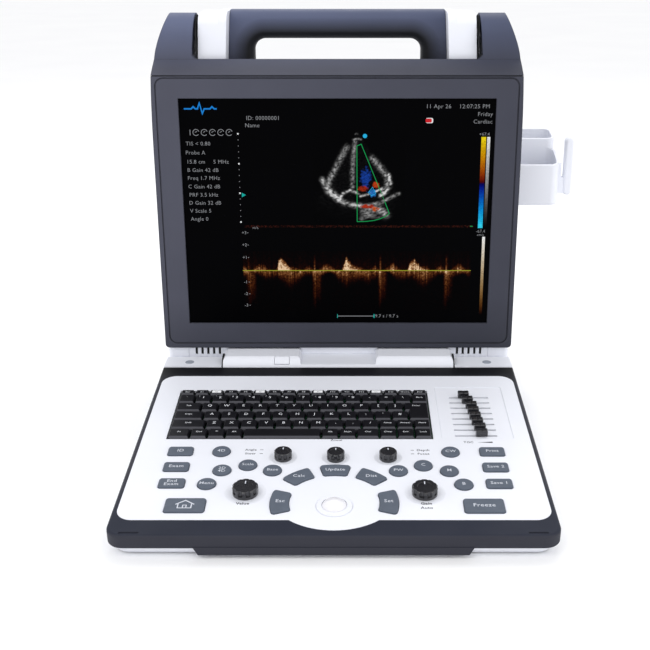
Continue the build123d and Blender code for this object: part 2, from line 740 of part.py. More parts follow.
def make_hinge_pins():
    """Steel fold pins and tilt axles, fixed in the body."""
    fold = rod_x((COVER_HALF - PIN_IN_COVER, KNUCKLE_IN + PIN_OUT), HINGE_Y, HINGE_Z, PIN_R)
    tilt = rod_x((SHOULDER_OUT - AXLE_ROOT, EAR_INNER + AXLE_REACH), TILT_Y, TILT_Z, AXLE_R)
    return both_sides(fold) + both_sides(tilt)


def make_feet():
    """Four rubber feet under the base tray."""
    foot = slab(Circle(FOOT_R), 0, FLOOR_Z)
    places = [(x, y) for x in (-FOOT_X, FOOT_X) for y in (BODY_FRONT + FOOT_IN, BODY_BACK - FOOT_IN)]
    return [Pos(x, y, 0) * foot for x, y in places]


# ---------------------------------------------------------------- inside the body
def fan_slots():
    """Exhaust grille: straight slots whose ends follow the fan's circle."""
    radius = FAN_SIZE / 2 - BLADE_CLEAR
    rows = int(radius / GRILLE_PITCH)
    cuts = []
    for row in range(-rows, rows + 1):
        rise = row * GRILLE_PITCH
        half = math.sqrt(radius**2 - rise**2) + 1
        z = (FAN_Z + rise - GRILLE_SLOT / 2, FAN_Z + rise + GRILLE_SLOT / 2)
        cuts.append(block((FAN_X - half, FAN_X + half), (BODY_BACK - WALL - 2, BODY_BACK + 1), z))
    return cuts


def rear_openings():
    """Cut-outs in the back wall for the sockets."""
    cuts = []
    for x, z, width, height in PORTS.values():
        cuts.append(
            block(
                (x - width / 2 - SEAT, x + width / 2 + SEAT),
                (BODY_BACK - WALL - 2, BODY_BACK + 1),
                (z - height / 2 - SEAT, z + height / 2 + SEAT),
            )
        )
    return cuts


def rod_y(radius, length):
    """Round bar along Y, centred on the origin."""
    return Rot(90, 0, 0) * Cylinder(radius, length)


def make_fan_frame():
    """Square frame of the cooling fan with four corner holes, three spokes and an axle."""
    body = Box(FAN_SIZE, FAN_T, FAN_SIZE) - rod_y(FAN_SIZE / 2 - FAN_RIM, FAN_T + 2)
    web_y = (SPOKE_T - FAN_T) / 2
    for angle in SPOKES:
        spoke = Box(FAN_SIZE / 2 - 1, SPOKE_T, SPOKE_T + 1)
        body += Rot(0, angle, 0) * Pos(FAN_SIZE / 4, web_y, 0) * spoke
    body += Pos(0, web_y, 0) * rod_y(FAN_HUB_R, SPOKE_T)
    body += Pos(0, web_y + SPOKE_T, 0) * rod_y(SHAFT_R, 2 * SPOKE_T)
    for x in (-FAN_HOLE_PITCH / 2, FAN_HOLE_PITCH / 2):
        for z in (-FAN_HOLE_PITCH / 2, FAN_HOLE_PITCH / 2):
            body -= Pos(x, 0, z) * rod_y(FAN_HOLE_R, FAN_T + 2)
    return Pos(FAN_X, FAN_BACK - FAN_T / 2, FAN_Z) * body


def make_fan_rotor():
    """Hub and blades that turn inside the fan frame."""
    blade_r = FAN_SIZE / 2 - BLADE_CLEAR
    blade_l = blade_r - FAN_HUB_R + FAN_RIM
    rotor = rod_y(FAN_HUB_R, FAN_T - 2 * SPOKE_T - 1)
    for number in range(FAN_BLADES):
        blade = Rot(BLADE_PITCH, 0, 0) * Box(blade_l, BLADE_T, BLADE_W)
        blade = Pos(blade_r - blade_l / 2, 0, 0) * blade
        rotor += Rot(0, number * 360 / FAN_BLADES, 0) * blade
    rotor -= rod_y(SHAFT_R + FIT, FAN_T)
    return Pos(FAN_X, FAN_BACK - FAN_T / 2 + 2, FAN_Z) * rotor


def card(x, z, front=0.0, thick=BOARD_T):
    """Flat card parallel to the main board, a distance in front of the board's face."""
    return block(x, (BOARD_Y - front, BOARD_Y - front + thick), z)


def make_boards():
    """Main board, front-end card, power supply card and the sockets on the back."""
    body = card(MAIN_BOARD_X, MAIN_BOARD_Z)
    body += card(SINK_X, SINK_Z, SINK_T, SINK_T)
    fin_pitch = (SINK_X[1] - SINK_X[0]) / SINK_FINS
    for number in range(SINK_FINS):
        x = SINK_X[0] + (number + 0.25) * fin_pitch
        gap = (x, x + fin_pitch / 2)
        body -= card(gap, (SINK_Z[0] - 1, SINK_Z[1] + 1), SINK_T + 1, SINK_T - 2)
    body += card(PROBE_CARD_X, PROBE_CARD_Z, PROBE_CARD_AHEAD)
    post_x = sum(PROBE_CARD_X) / 2
    post_z = sum(PROBE_CARD_Z) / 2
    body += card((post_x, post_x + POST), (post_z, post_z + POST), PROBE_CARD_AHEAD, PROBE_CARD_AHEAD)
    body += card(SUPPLY_X, SUPPLY_Z)
    body += card(CHOKE_X, CHOKE_Z, CHOKE_T, CHOKE_T)
    body += card(CAPACITOR_X, CAPACITOR_Z, CAPACITOR_T, CAPACITOR_T)
    body += card(LINK_X, (MAIN_BOARD_Z[1], SUPPLY_Z[0]))
    for x, z, width, height in PORTS.values():
        port = block(
            (x - width / 2, x + width / 2),
            (BOARD_Y + BOARD_T, BODY_BACK - 2 * SEAT),
            (z - height / 2, z + height / 2),
        )
        port -= block(
            (x - width / 2 + PORT_WALL, x + width / 2 - PORT_WALL),
            (BODY_BACK - PORT_DEPTH, BODY_BACK),
            (z - height / 2 + PORT_WALL, z + height / 2 - PORT_WALL),
        )
        body += port
    return body


def make_battery():
    """Slide-in battery pack whose end closes the bay in the left side."""
    return block((-BODY_W / 2, BATTERY_L - BODY_W / 2), BATTERY_Y, BATTERY_Z)


def make_probe_sockets():
    """Two flat multi-pin probe sockets, each a shroud around a recessed pin field."""
    solids = []
    face_x = BODY_W / 2 + SOCKET_PROUD
    for z in SOCKET_ZS:
        body = Pos(face_x - SOCKET_BODY / 2, SOCKET_Y, z) * Box(SOCKET_BODY, SOCKET_D, SOCKET_H)
        field = Box(2 * SOCKET_RECESS, SOCKET_D - 2 * SHROUD, SOCKET_H - 3 * SHROUD)
        body -= Pos(face_x, SOCKET_Y, z) * field
        solids.append(body)
    return solids


# ---------------------------------------------------------------- probe holder
def cup(y, rim, floor_z):
    """One probe cup with a slanted rim and a rounded foot."""
    outer_plan = Pos((CUP_X[0] + CUP_X[1]) / 2, (y[0] + y[1]) / 2)
    depth = y[1] - y[0]
    outer = slab(outer_plan * RectangleRounded(CUP_W, depth, CUP_CORNER), floor_z, floor_z + CUP_TALL)
    outer = fillet(outer.faces().sort_by(Axis.Z)[0].edges(), CUP_FOOT_R)
    inner_plan = RectangleRounded(CUP_W - 2 * CUP_WALL, depth - 2 * CUP_WALL, CUP_CORNER - CUP_WALL)
    inner = slab(outer_plan * inner_plan, floor_z + CUP_WALL, floor_z + CUP_TALL)
    top = floor_z + CUP_TALL + 1
    cut = [(y[0] - 1, rim[0]), (y[1] + 1, rim[1]), (y[1] + 1, top), (y[0] - 1, top)]
    return outer - inner - side_extrude(cut, CUP_X[1] + 1)


def make_probe_holder():
    """Twin probe cups with a cable hook, carried on a lug on the body's right side."""
    front = cup((CUP_FRONT_Y[0], CUP_FRONT_Y[1] + CUP_WALL), CUP_FRONT_RIM, CUP_BOTTOM_Z)
    rear = cup(CUP_REAR_Y, CUP_REAR_RIM, CUP_BOTTOM_Z + CUP_REAR_LIFT)
    lug_y = (CUP_FRONT_Y[0] + CUP_CORNER, CUP_REAR_Y[1] - CUP_CORNER)
    holder = front + rear + block((BODY_W / 2, CUP_X[0] + CUP_WALL / 2), lug_y, LUG_Z)
    root = CUP_X[1] - CUP_WALL / 2
    arm_y = (HOOK_Y - ARM_W / 2, HOOK_Y + ARM_W / 2)
    arm = block((root, HOOK_X), arm_y, ARM_Z)
    fin = block((root, CUP_X[1] + FIN_OUT), (arm_y[0], arm_y[0] + FIN_W), (ARM_Z[0], FIN_TOP_Z))
    bar_plan = SlotOverall(HOOK_Z[1] - HOOK_Z[0], HOOK_W, rotation=90)
    bar_plan = Pos(0, (HOOK_Z[0] + HOOK_Z[1]) / 2) * bar_plan
    bar = Pos(HOOK_X, HOOK_Y + HOOK_D / 2, 0) * extrude(Plane.XZ * bar_plan, HOOK_D)
    bar = fillet(bar.edges(), HOOK_ROUND)
    return holder + arm + fin + bar


def make_housing_screws():
    """Six slotted pan-head screws in the back."""
    reach = BODY_W / 2 - SIDE_CORNER - SCREW_R - 1
    places = [(x, z) for x in (-reach, reach) for z in (22, BODY_TOP_Z / 2, BODY_TOP_Z - 24)]
    screws = []
    for x, z in places:
        slot = Pos(0, SCREW_H / 2, 0) * Box(1.3 * SCREW_R, SCREW_H, SCREW_SLOT)
        head = rod_y(SCREW_R, SCREW_H) - slot
        screws.append(Pos(x, BODY_BACK + SCREW_H / 2, z) * head)
    return screws


# ---------------------------------------------------------------- control deck
def deck_outline(inset, corner):
    """Deck outline seen square to the panel, in u and -t, shrunk by an inset."""
    width = DECK_W - 2 * inset
    depth = DECK_LEN - 2 * inset
    plate = Pos(0, -DECK_LEN / 2) * Rectangle(width, depth)
    front = plate.vertices().group_by(Axis.Y)[0]
    return fillet(front, corner)


def panel_outline(inset=0.0):
    """White panel's outline with a round bulge in front of the trackball."""
    width = 2 * (PANEL_HALF - inset)
    depth = PANEL_T1 - PANEL_T0 - 2 * inset
    plate = Pos(0, -(PANEL_T0 + PANEL_T1) / 2) * RectangleRounded(width, depth, PANEL_CORNER - inset)
    chord = BULGE_HALF
    radius = (chord**2 + BULGE_OUT**2) / (2 * BULGE_OUT)
    centre_t = PANEL_T1 + BULGE_OUT - radius
    return plate + Pos(0, -centre_t) * Circle(radius - inset)


def key_rows():
    """Outlines of the keys, row by row, as sketches in u and -t."""
    rows = []
    t = KEY_T0
    for depth, widths in zip(KEY_ROWS, KEY_WIDTHS):
        unit = KEY_BLOCK_W / sum(widths)
        u = KEY_U0
        row = []
        for share in widths:
            middle = Pos(u + share * unit / 2, -(t + depth / 2))
            row.append(middle * Rectangle(share * unit - KEY_GAP, depth - KEY_GAP))
            u += share * unit
        rows.append(row)
        t += depth
    return rows


def key_outlines():
    """Outline of every key. The enter key is one piece over two rows."""
    rows = key_rows()
    upper = rows[ENTER_ROW].pop()
    lower = rows[ENTER_ROW + 1].pop()
    box = lower.bounding_box()
    bridge_top = upper.bounding_box().min.Y + 1
    bridge = Pos(box.center().X, (box.max.Y - 1 + bridge_top) / 2)
    enter = upper + lower + bridge * Rectangle(box.size.X, bridge_top - box.max.Y + 1)
    return [outline for row in rows for outline in row] + [enter]


def arc_sketch(centre_t, inner_r, mean, half_sweep, grow=0.0):
    """Curved button beside the trackball, as a sketch in u and -t."""
    inner = inner_r - grow
    outer = inner_r + ARC_W + grow
    middle = math.radians(90 + mean)
    sweep = math.radians(half_sweep) + grow / inner_r

    def at(radius, angle):
        return (radius * math.cos(angle), radius * math.sin(angle) - centre_t)

    start = middle - sweep
    stop = middle + sweep
    face = make_face(
        [
            ThreePointArc(at(outer, start), at(outer, middle), at(outer, stop)),
            Line(at(outer, stop), at(inner, stop)),
            ThreePointArc(at(inner, stop), at(inner, middle), at(inner, start)),
            Line(at(inner, start), at(outer, start)),
        ]
    )
    return fillet(face.vertices(), BUTTON_CORNER + grow)


def button_sketches(grow=0.0):
    """Every button's outline on the panel, by name."""
    sketches = {}
    for name, (u, t) in ROUND_BUTTONS.items():
        sketches[name] = Pos(u, -t) * Circle(BUTTON_R + grow)
    for name, (u, t, width, depth) in WIDE_BUTTONS.items():
        corner = BUTTON_CORNER + grow
        sketches[name] = Pos(u, -t) * rounded(width + 2 * grow, depth + 2 * grow, corner)
    for name, ring in ARC_BUTTONS.items():
        sketches[name] = arc_sketch(*ring, grow)
    return sketches


def slider_ts():
    """Distance of each gain slider from the deck's rear edge."""
    return [SLIDER_T0 + number * SLIDER_PITCH for number in range(SLIDERS)]


def make_control_panel():
    """White top plate with its holes for keys, sliders, knobs, buttons and ball."""
    plate = slab(panel_outline(SEAT), -PANEL_T, 0)
    keys = Pos(KEY_U0 + KEY_BLOCK_W / 2, -(KEY_T0 + KEY_BLOCK_D / 2))
    well = Rectangle(KEY_BLOCK_W + KEY_WELL, KEY_BLOCK_D + KEY_WELL)
    plate -= slab(keys * well, -PANEL_T - 1, 1)
    field_w = SLIDER_FIELD_U[1] - SLIDER_FIELD_U[0]
    field_d = SLIDER_FIELD_T[1] - SLIDER_FIELD_T[0]
    field = Pos(sum(SLIDER_FIELD_U) / 2, -sum(SLIDER_FIELD_T) / 2)
    field *= RectangleRounded(field_w, field_d, BUTTON_CORNER)
    plate -= slab(field, -SLIDER_FIELD_DEEP, 1)
    for t in slider_ts():
        plate -= slab(Pos(SLIDER_U, -t) * Rectangle(SLOT_LEN, SLOT_W), -PANEL_T - 1, 1)
    for sketch in button_sketches(HOLE_CLEAR).values():
        plate -= slab(sketch, -PANEL_T - 1, 1)
    for u, t, radius in KNOBS.values():
        plate -= slab(Pos(u, -t) * Circle(SHAFT_R + KEY_WELL), -PANEL_T - 1, 1)
        dish = Cone(radius + DISH_GAP, radius * (1 + DISH_SHARE), DISH_DEEP)
        plate -= Pos(u, -t, -DISH_DEEP / 2) * dish
    plate -= slab(Pos(0, -BALL_T) * Circle(RING_R), -PANEL_T - 1, 1)
    return on_deck(0, 0) * plate


def make_deck_frame():
    """Dark rim around the panel with the front band, the closing slots and the front tab."""
    rim = slab(deck_outline(0, RIM_CORNER), -RIM_D, 0)
    rim = fillet(rim.faces().sort_by(Axis.Z)[-1].edges(), RIM_ROUND)
    rim -= slab(panel_outline(), -RIM_D - 1, 1)
    rim -= slab(deck_outline(WALL, RIM_CORNER - WALL), -RIM_D - 1, -PANEL_T - SHELF_T)
    rim -= slab(panel_outline(-SHELF_T), -RIM_D - 1, -PANEL_T - SHELF_T)
    shelf = panel_outline(-SHELF_T) - panel_outline(WALL)
    rim += slab(shelf, -PANEL_T - SHELF_T, -PANEL_T)
    for u in (-LATCH_X, LATCH_X):
        mouth = Pos(u, -(DECK_LEN - LATCH_IN)) * rounded(*LATCH_SIZE, LATCH_SIZE[1] / 2)
        rim -= slab(mouth, -LATCH_DEEP, 1)
    frame = on_deck(0, 0) * rim
    front_y = EDGE_Y - DECK_LEN * math.cos(SLOPE)
    front_z = EDGE_Z - DECK_LEN * math.sin(SLOPE) - RIM_D
    wide = [(-TAB_HALF, front_z + 1), (TAB_HALF, front_z + 1)]
    narrow = [(TAB_HALF - TAB_TAPER, TAB_BASE_Z), (TAB_TAPER - TAB_HALF, TAB_BASE_Z)]
    tab = Plane.XZ * make_face(Polyline(*wide, *narrow, close=True))
    return frame + Pos(0, front_y + WALL - SEAT, 0) * extrude(tab, TAB_T)


def deck_envelope(grow):
    """Space of the dark rim and everything above it, grown on every side."""
    return on_deck(0, 0) * slab(deck_outline(-grow, RIM_CORNER + grow), -RIM_D - grow, ABOVE_DECK)


def tub_footprint(inset):
    """Plan of the white tub, round at the two corners near the user."""
    front_y = EDGE_Y - DECK_LEN * math.cos(SLOPE) + WALL + inset
    rear_y = EDGE_Y - inset
    plan = Rectangle(2 * (RIM_HALF - TUB_INSET - inset), rear_y - front_y)
    plan = Pos(0, (rear_y + front_y) / 2) * plan
    return fillet(plan.vertices().group_by(Axis.Y)[0], TUB_CORNER - inset)


def make_knuckle(x):
    """Outer hinge knuckle between two X values: round below, level on top."""
    radius = HUMP_R - KNUCKLE_SHY
    knuckle = rod_x(x, HINGE_Y, HINGE_Z, radius)
    knuckle += block(x, (EDGE_Y - WALL, HINGE_Y), (HINGE_Z - radius, EDGE_Z))
    wide = (x[0] - 1, x[1] + 1)
    over = (EDGE_Y - WALL - 1, HINGE_Y + radius + 1)
    knuckle -= block(wide, over, (EDGE_Z, EDGE_Z + radius))
    knuckle -= deck_envelope(SEAT)
    return knuckle - rod_x(wide, HINGE_Y, HINGE_Z, PIN_R + FIT)


def make_deck_shell():
    """White tub under the deck with the two outer hinge knuckles."""
    top = EDGE_Z + TUB_CHAMFER
    tub = slab(tub_footprint(0), TUB_BASE_Z, top)
    tub = chamfer(tub.faces().sort_by(Axis.Z)[0].edges(), TUB_CHAMFER)
    tub -= slab(tub_footprint(WALL), TUB_BASE_Z + TUB_CHAMFER + 1, top + 1)
    tub -= slab(tub_footprint(WALL + TUB_CHAMFER), TUB_BASE_Z + WALL, top + 1)
    above = Pos(0, -DECK_LEN / 2) * Rectangle(2 * DECK_W, 2 * DECK_LEN)
    tub -= on_deck(0, 0) * slab(above, -RIM_D, ABOVE_DECK)
    tub += make_knuckle((KNUCKLE_IN, KNUCKLE_OUT))
    tub += make_knuckle((-KNUCKLE_OUT, -KNUCKLE_IN))
    skid_y = EDGE_Y - DECK_LEN * math.cos(SLOPE) + SKID_BACK
    for x in (SKID_IN - RIM_HALF, RIM_HALF - SKID_IN):
        tub += Pos(x, skid_y, 0) * slab(Circle(SKID_R), 0, TUB_BASE_Z + 1)
    return tub


def board_part(u, v, size, top):
    """Box-shaped component standing on the control board, up to a height."""
    return slab(Pos(u, v) * Rectangle(*size), -BOARD_DEPTH - BOARD_T / 2, top)


def make_control_board():
    """Board under the panel with the key bed, switches, encoders and slider tracks."""
    t0 = PANEL_T0 + BOARD_REAR_IN
    t1 = PANEL_T1 - RIM_SIDE
    plan = Pos(0, -(t0 + t1) / 2) * Rectangle(2 * (PANEL_HALF - BOARD_DEPTH), t1 - t0)
    board = slab(plan, -BOARD_DEPTH - BOARD_T, -BOARD_DEPTH)
    board -= slab(Pos(0, -BALL_T) * Circle(RING_R + 1), -2 * BOARD_DEPTH, 1)
    bed = (KEY_BLOCK_W + SWITCH, KEY_BLOCK_D + SWITCH)
    bed_place = (KEY_U0 + KEY_BLOCK_W / 2, -(KEY_T0 + KEY_BLOCK_D / 2))
    board += board_part(*bed_place, bed, -BOARD_DEPTH + KEY_BED)
    places = [(u, -t) for u, t in ROUND_BUTTONS.values()]
    places += [(u, -t) for u, t, _, _ in WIDE_BUTTONS.values()]
    for centre_t, inner, mean, _ in ARC_BUTTONS.values():
        angle = math.radians(90 + mean)
        radius = inner + ARC_W / 2
        places.append((radius * math.cos(angle), radius * math.sin(angle) - centre_t))
    for u, v in places:
        board += board_part(u, v, (SWITCH, SWITCH), -SWITCH_TOP)
    under_panel = -PANEL_T - 2 * SEAT
    for u, t, _ in KNOBS.values():
        board += board_part(u, -t, (ENCODER, ENCODER), under_panel)
        board -= slab(Pos(u, -t) * Circle(SHAFT_R + FIT), -BOARD_DEPTH + BOARD_T / 2, 1)
    for t in slider_ts():
        board += board_part(SLIDER_U, -t, (SLOT_LEN + TRACK_W, TRACK_W), under_panel)
        run = Rectangle(SLOT_LEN + 1, TRACK_GROOVE)
        board -= slab(Pos(SLIDER_U, -t) * run, -BOARD_DEPTH + BOARD_T / 2, 1)
    return on_deck(0, 0) * board


def make_trackball():
    """Ball of the trackball."""
    return on_deck(0, BALL_T, -BALL_SINK) * Sphere(BALL_R)


def ball_clearance(height):
    """Radius of the hole that clears the ball at a height above the panel."""
    return math.sqrt(BALL_R**2 - (height + BALL_SINK) ** 2) + HOLE_CLEAR


def make_trackball_ring():
    """White ring that keeps the ball in."""
    low = -PANEL_T - 1.0
    high = RING_UP
    ring = slab(Circle(RING_R - SEAT), low, high)
    ring = chamfer(ring.edges().group_by(Axis.Z)[-1], RING_EDGE)
    cage = Circle(RING_R - SEAT) - Circle(BALL_R + BUTTON_EDGE)
    ring += slab(cage, low - BOARD_DEPTH, low)
    hole = Pos(0, 0, (low + high) / 2) * Cone(ball_clearance(low), ball_clearance(high), high - low)
    hole += Pos(0, 0, high) * Cylinder(ball_clearance(high), 1)
    return on_deck(0, BALL_T) * (ring - hole)


# ---------------------------------------------------------------- moving controls
def make_buttons():
    """Every panel button: a cap through the panel and a flange that keeps it in."""
    pieces = {}
    flanges = button_sketches(FLANGE_OUT)
    flange_top = -PANEL_T - BUTTON_LIFT
    for name, cap in button_sketches().items():
        button = slab(cap, flange_top - FLANGE_T / 2, BUTTON_UP)
        button = chamfer(button.edges().group_by(Axis.Z)[-1], BUTTON_EDGE)
        button += slab(flanges[name], flange_top - FLANGE_T, flange_top)
        pieces[name] = on_deck(0, 0) * button
    return pieces


def make_knob(u, t, radius):
    """Knob with finger scallops and a shaft into its encoder."""
    knob = slab(Circle(radius), -KNOB_SINK, KNOB_H)
    knob = chamfer(knob.edges().group_by(Axis.Z)[-1], KNOB_EDGE)
    bite = radius * GRIP_SHARE
    reach = radius + bite / 3
    for number in range(KNOB_GRIPS):
        angle = 2 * math.pi * number / KNOB_GRIPS
        scallop = Pos(reach * math.cos(angle), reach * math.sin(angle)) * Circle(bite)
        knob -= slab(scallop, GRIP_LOW, KNOB_H + 1)
    knob -= slab(Circle(radius * DISH_SHARE), KNOB_H - BUTTON_EDGE, KNOB_H + 1)
    knob += slab(Circle(SHAFT_R), -BOARD_DEPTH + BOARD_T / 2 + SEAT, 0)
    return on_deck(u, t) * knob


def make_slider(number):
    """Finger cap of one gain slider with its stem through the slot."""
    low, high = SLIDER_UP
    cap = slab(rounded(*SLIDER_CAP, SLIDER_EDGE), low, high)
    cap = chamfer(cap.edges().group_by(Axis.Z)[-1], SLIDER_EDGE)
    cap -= slab(Rectangle(SLIDER_MARK, SLIDER_CAP[1] + 1), high - SLIDER_MARK / 2, high + 1)
    stem_foot = -BOARD_DEPTH + BOARD_T / 2 + 3 * SEAT
    cap += slab(Rectangle(*SLIDER_STEM), stem_foot, low + 0.1)
    return on_deck(SLIDER_U + SLIDER_OFFSETS[number], slider_ts()[number]) * cap


def make_keys():
    """All letter keys: caps with sloping sides, one solid each."""
    caps = []
    for outline in key_outlines():
        skirt = slab(outline, KEY_FOOT, 0)
        crown = extrude(outline, KEY_UP, taper=KEY_TAPER)
        caps.append(on_deck(0, 0) * (skirt + crown))
    return caps


def save(name, shape):
    """Write one node, joining a list of separate solids into one compound."""
    if isinstance(shape, (list, tuple)):
        solids = [solid for piece in shape for solid in piece.solids()]
        shape = Compound(children=solids)
    elif len(shape.solids()) == 1:
        shape = shape.solids()[0]
    export_step(shape, os.path.join("parts", name + ".step"))


def main():
    """Build every node and write its file."""
    os.makedirs("parts", exist_ok=True)
    pieces = {
        "monitor_bezel": make_bezel(),
        "lcd_panel": make_lcd(),
        "monitor_shell": make_head_shell(),
        "base_chassis": make_base_chassis(),
        "rear_housing": make_rear_housing(),
        "carry_handle": make_handle(),
        "hinge_cover": make_hinge_cover(),
        "hinge_pins": make_hinge_pins(),
        "rubber_feet": make_feet(),
        "main_boards": make_boards(),
        "battery_pack": make_battery(),
        "fan_frame": make_fan_frame(),
        "fan_rotor": make_fan_rotor(),
        "probe_sockets": make_probe_sockets(),
        "probe_holder": make_probe_holder(),
        "housing_screws": make_housing_screws(),
        "deck_shell": make_deck_shell(),
        "deck_frame": make_deck_frame(),
        "control_panel": make_control_panel(),
        "control_board": make_control_board(),
        "trackball_ring": make_trackball_ring(),
        "trackball": make_trackball(),
        "power_button": make_power_button(),
        "letter_keys": make_keys(),
    }
    pieces.update(make_buttons())
    for name, (u, t, radius) in KNOBS.items():
        pieces[name] = make_knob(u, t, radius)
    for number in range(SLIDERS):
        pieces[f"gain_slider_{number + 1}"] = make_slider(number)
    for name, shape in pieces.items():
        save(name, shape)


main()
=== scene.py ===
"""Portable ultrasound scanner: finishes, legends, screen picture and small fittings in a studio."""
from __future__ import annotations

import logging
import math
from dataclasses import dataclass, field
from enum import Enum

import bmesh
import bpy
import numpy as np
from mathutils import Matrix, Vector


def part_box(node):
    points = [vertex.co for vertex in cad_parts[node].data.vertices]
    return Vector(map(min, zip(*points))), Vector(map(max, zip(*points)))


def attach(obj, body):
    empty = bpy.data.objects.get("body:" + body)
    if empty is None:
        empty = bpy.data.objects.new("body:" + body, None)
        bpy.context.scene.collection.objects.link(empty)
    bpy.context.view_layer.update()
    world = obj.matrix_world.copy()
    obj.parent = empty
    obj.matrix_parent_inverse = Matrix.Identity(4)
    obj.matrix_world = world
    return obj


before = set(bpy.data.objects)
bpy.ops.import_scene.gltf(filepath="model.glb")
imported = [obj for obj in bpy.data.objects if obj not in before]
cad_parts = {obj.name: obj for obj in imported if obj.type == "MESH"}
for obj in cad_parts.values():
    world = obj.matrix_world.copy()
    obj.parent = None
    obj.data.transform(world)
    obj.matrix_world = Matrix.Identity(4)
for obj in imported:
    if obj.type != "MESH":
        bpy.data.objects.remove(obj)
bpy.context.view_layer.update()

log = logging.getLogger("scanner")
MM = 0.001
SKIRT_START = 0.35
TOP_BAND = 0.0006
PIN_CORNERS = 10
HEAD, BODY = "head", "body"
Colour = tuple[float, float, float]
Spot = tuple[float, float]
Path = list[Spot]
Shape = tuple[np.ndarray, list[tuple[int, ...]]]
Socket = bpy.types.NodeSocket


def shade(red: int, green: int, blue: int) -> Colour:
    """Linear colour of an 8-bit display colour.

    Args:
        red: Red from 0 to 255.
        green: Green from 0 to 255.
        blue: Blue from 0 to 255.

    Returns:
        The colour in linear light.
    """
    parts = [value / 255.0 for value in (red, green, blue)]
    return tuple(p / 12.92 if p <= 0.04045 else ((p + 0.055) / 1.055) ** 2.4 for p in parts)


def scaled(colour: Colour, factor: float) -> Colour:
    """A colour made lighter or darker by a factor."""
    return tuple(min(1.0, part * factor) for part in colour)


def moved(place: Matrix, points: np.ndarray) -> np.ndarray:
    """Points carried to a place.

    Args:
        place: The placement.
        points: Rows of three coordinates.

    Returns:
        The moved points, in rows.
    """
    return (np.array(place) @ np.c_[points, np.ones(len(points))].T).T[:, :3]


# ---------------------------------------------------------------- frames of the deck and the head
@dataclass(frozen=True)
class DeckFrame:
    """Flat top of the fold-out deck, which slopes down to the user."""

    rear_y: float = -92.77
    rear_z: float = 44.53
    slope: float = 5.04

    def place(self, across: float, down: float, up: float = 0.0, turn: float = 0.0) -> Matrix:
        """Matrix of a spot on the deck, X to the right, Y to the rear, Z out of the deck.

        Args:
            across: Millimetres to the right of the middle.
            down: Millimetres from the rear edge towards the user.
            up: Millimetres above the deck's top.
            turn: Turn about the deck's normal in degrees.

        Returns:
            The placement in metres.
        """
        angle = math.radians(self.slope)
        y = self.rear_y - down * math.cos(angle) - up * math.sin(angle)
        z = self.rear_z - down * math.sin(angle) + up * math.cos(angle)
        spot = Matrix.Translation(Vector((across, y, z)) * MM)
        lean = Matrix.Rotation(angle, 4, "X")
        return spot @ lean @ Matrix.Rotation(math.radians(turn), 4, "Z")

    def spread(self, node: str) -> tuple[float, float, float]:
        """Where a CAD node's top lies on the deck.

        Args:
            node: Name of the node.

        Returns:
            Middle across, middle down and highest point above the deck, in millimetres.
        """
        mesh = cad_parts[node].data
        points = np.empty(len(mesh.vertices) * 3)
        mesh.vertices.foreach_get("co", points)
        local = moved(self.place(0, 0).inverted(), points.reshape(-1, 3)).T
        top = local[2].max()
        face = local[:, local[2] > top - TOP_BAND]
        middle_x = (face[0].min() + face[0].max()) / 2
        middle_y = (face[1].min() + face[1].max()) / 2
        return middle_x / MM, -middle_y / MM, top / MM


@dataclass(frozen=True)
class DisplayFrame:
    """Upright glass of the display, measured from its middle."""

    front_y: float = -62.3
    middle_z: float = 195.0

    def place(self, across: float = 0.0, up: float = 0.0, proud: float = 0.05) -> Matrix:
        """Matrix of a spot on the display, X to the right, Y up, Z out of the glass."""
        spot = Vector((across, self.front_y - proud, self.middle_z + up)) * MM
        return Matrix.Translation(spot) @ Matrix.Rotation(math.radians(90), 4, "X")


DECK = DeckFrame()
GLASS = DisplayFrame()


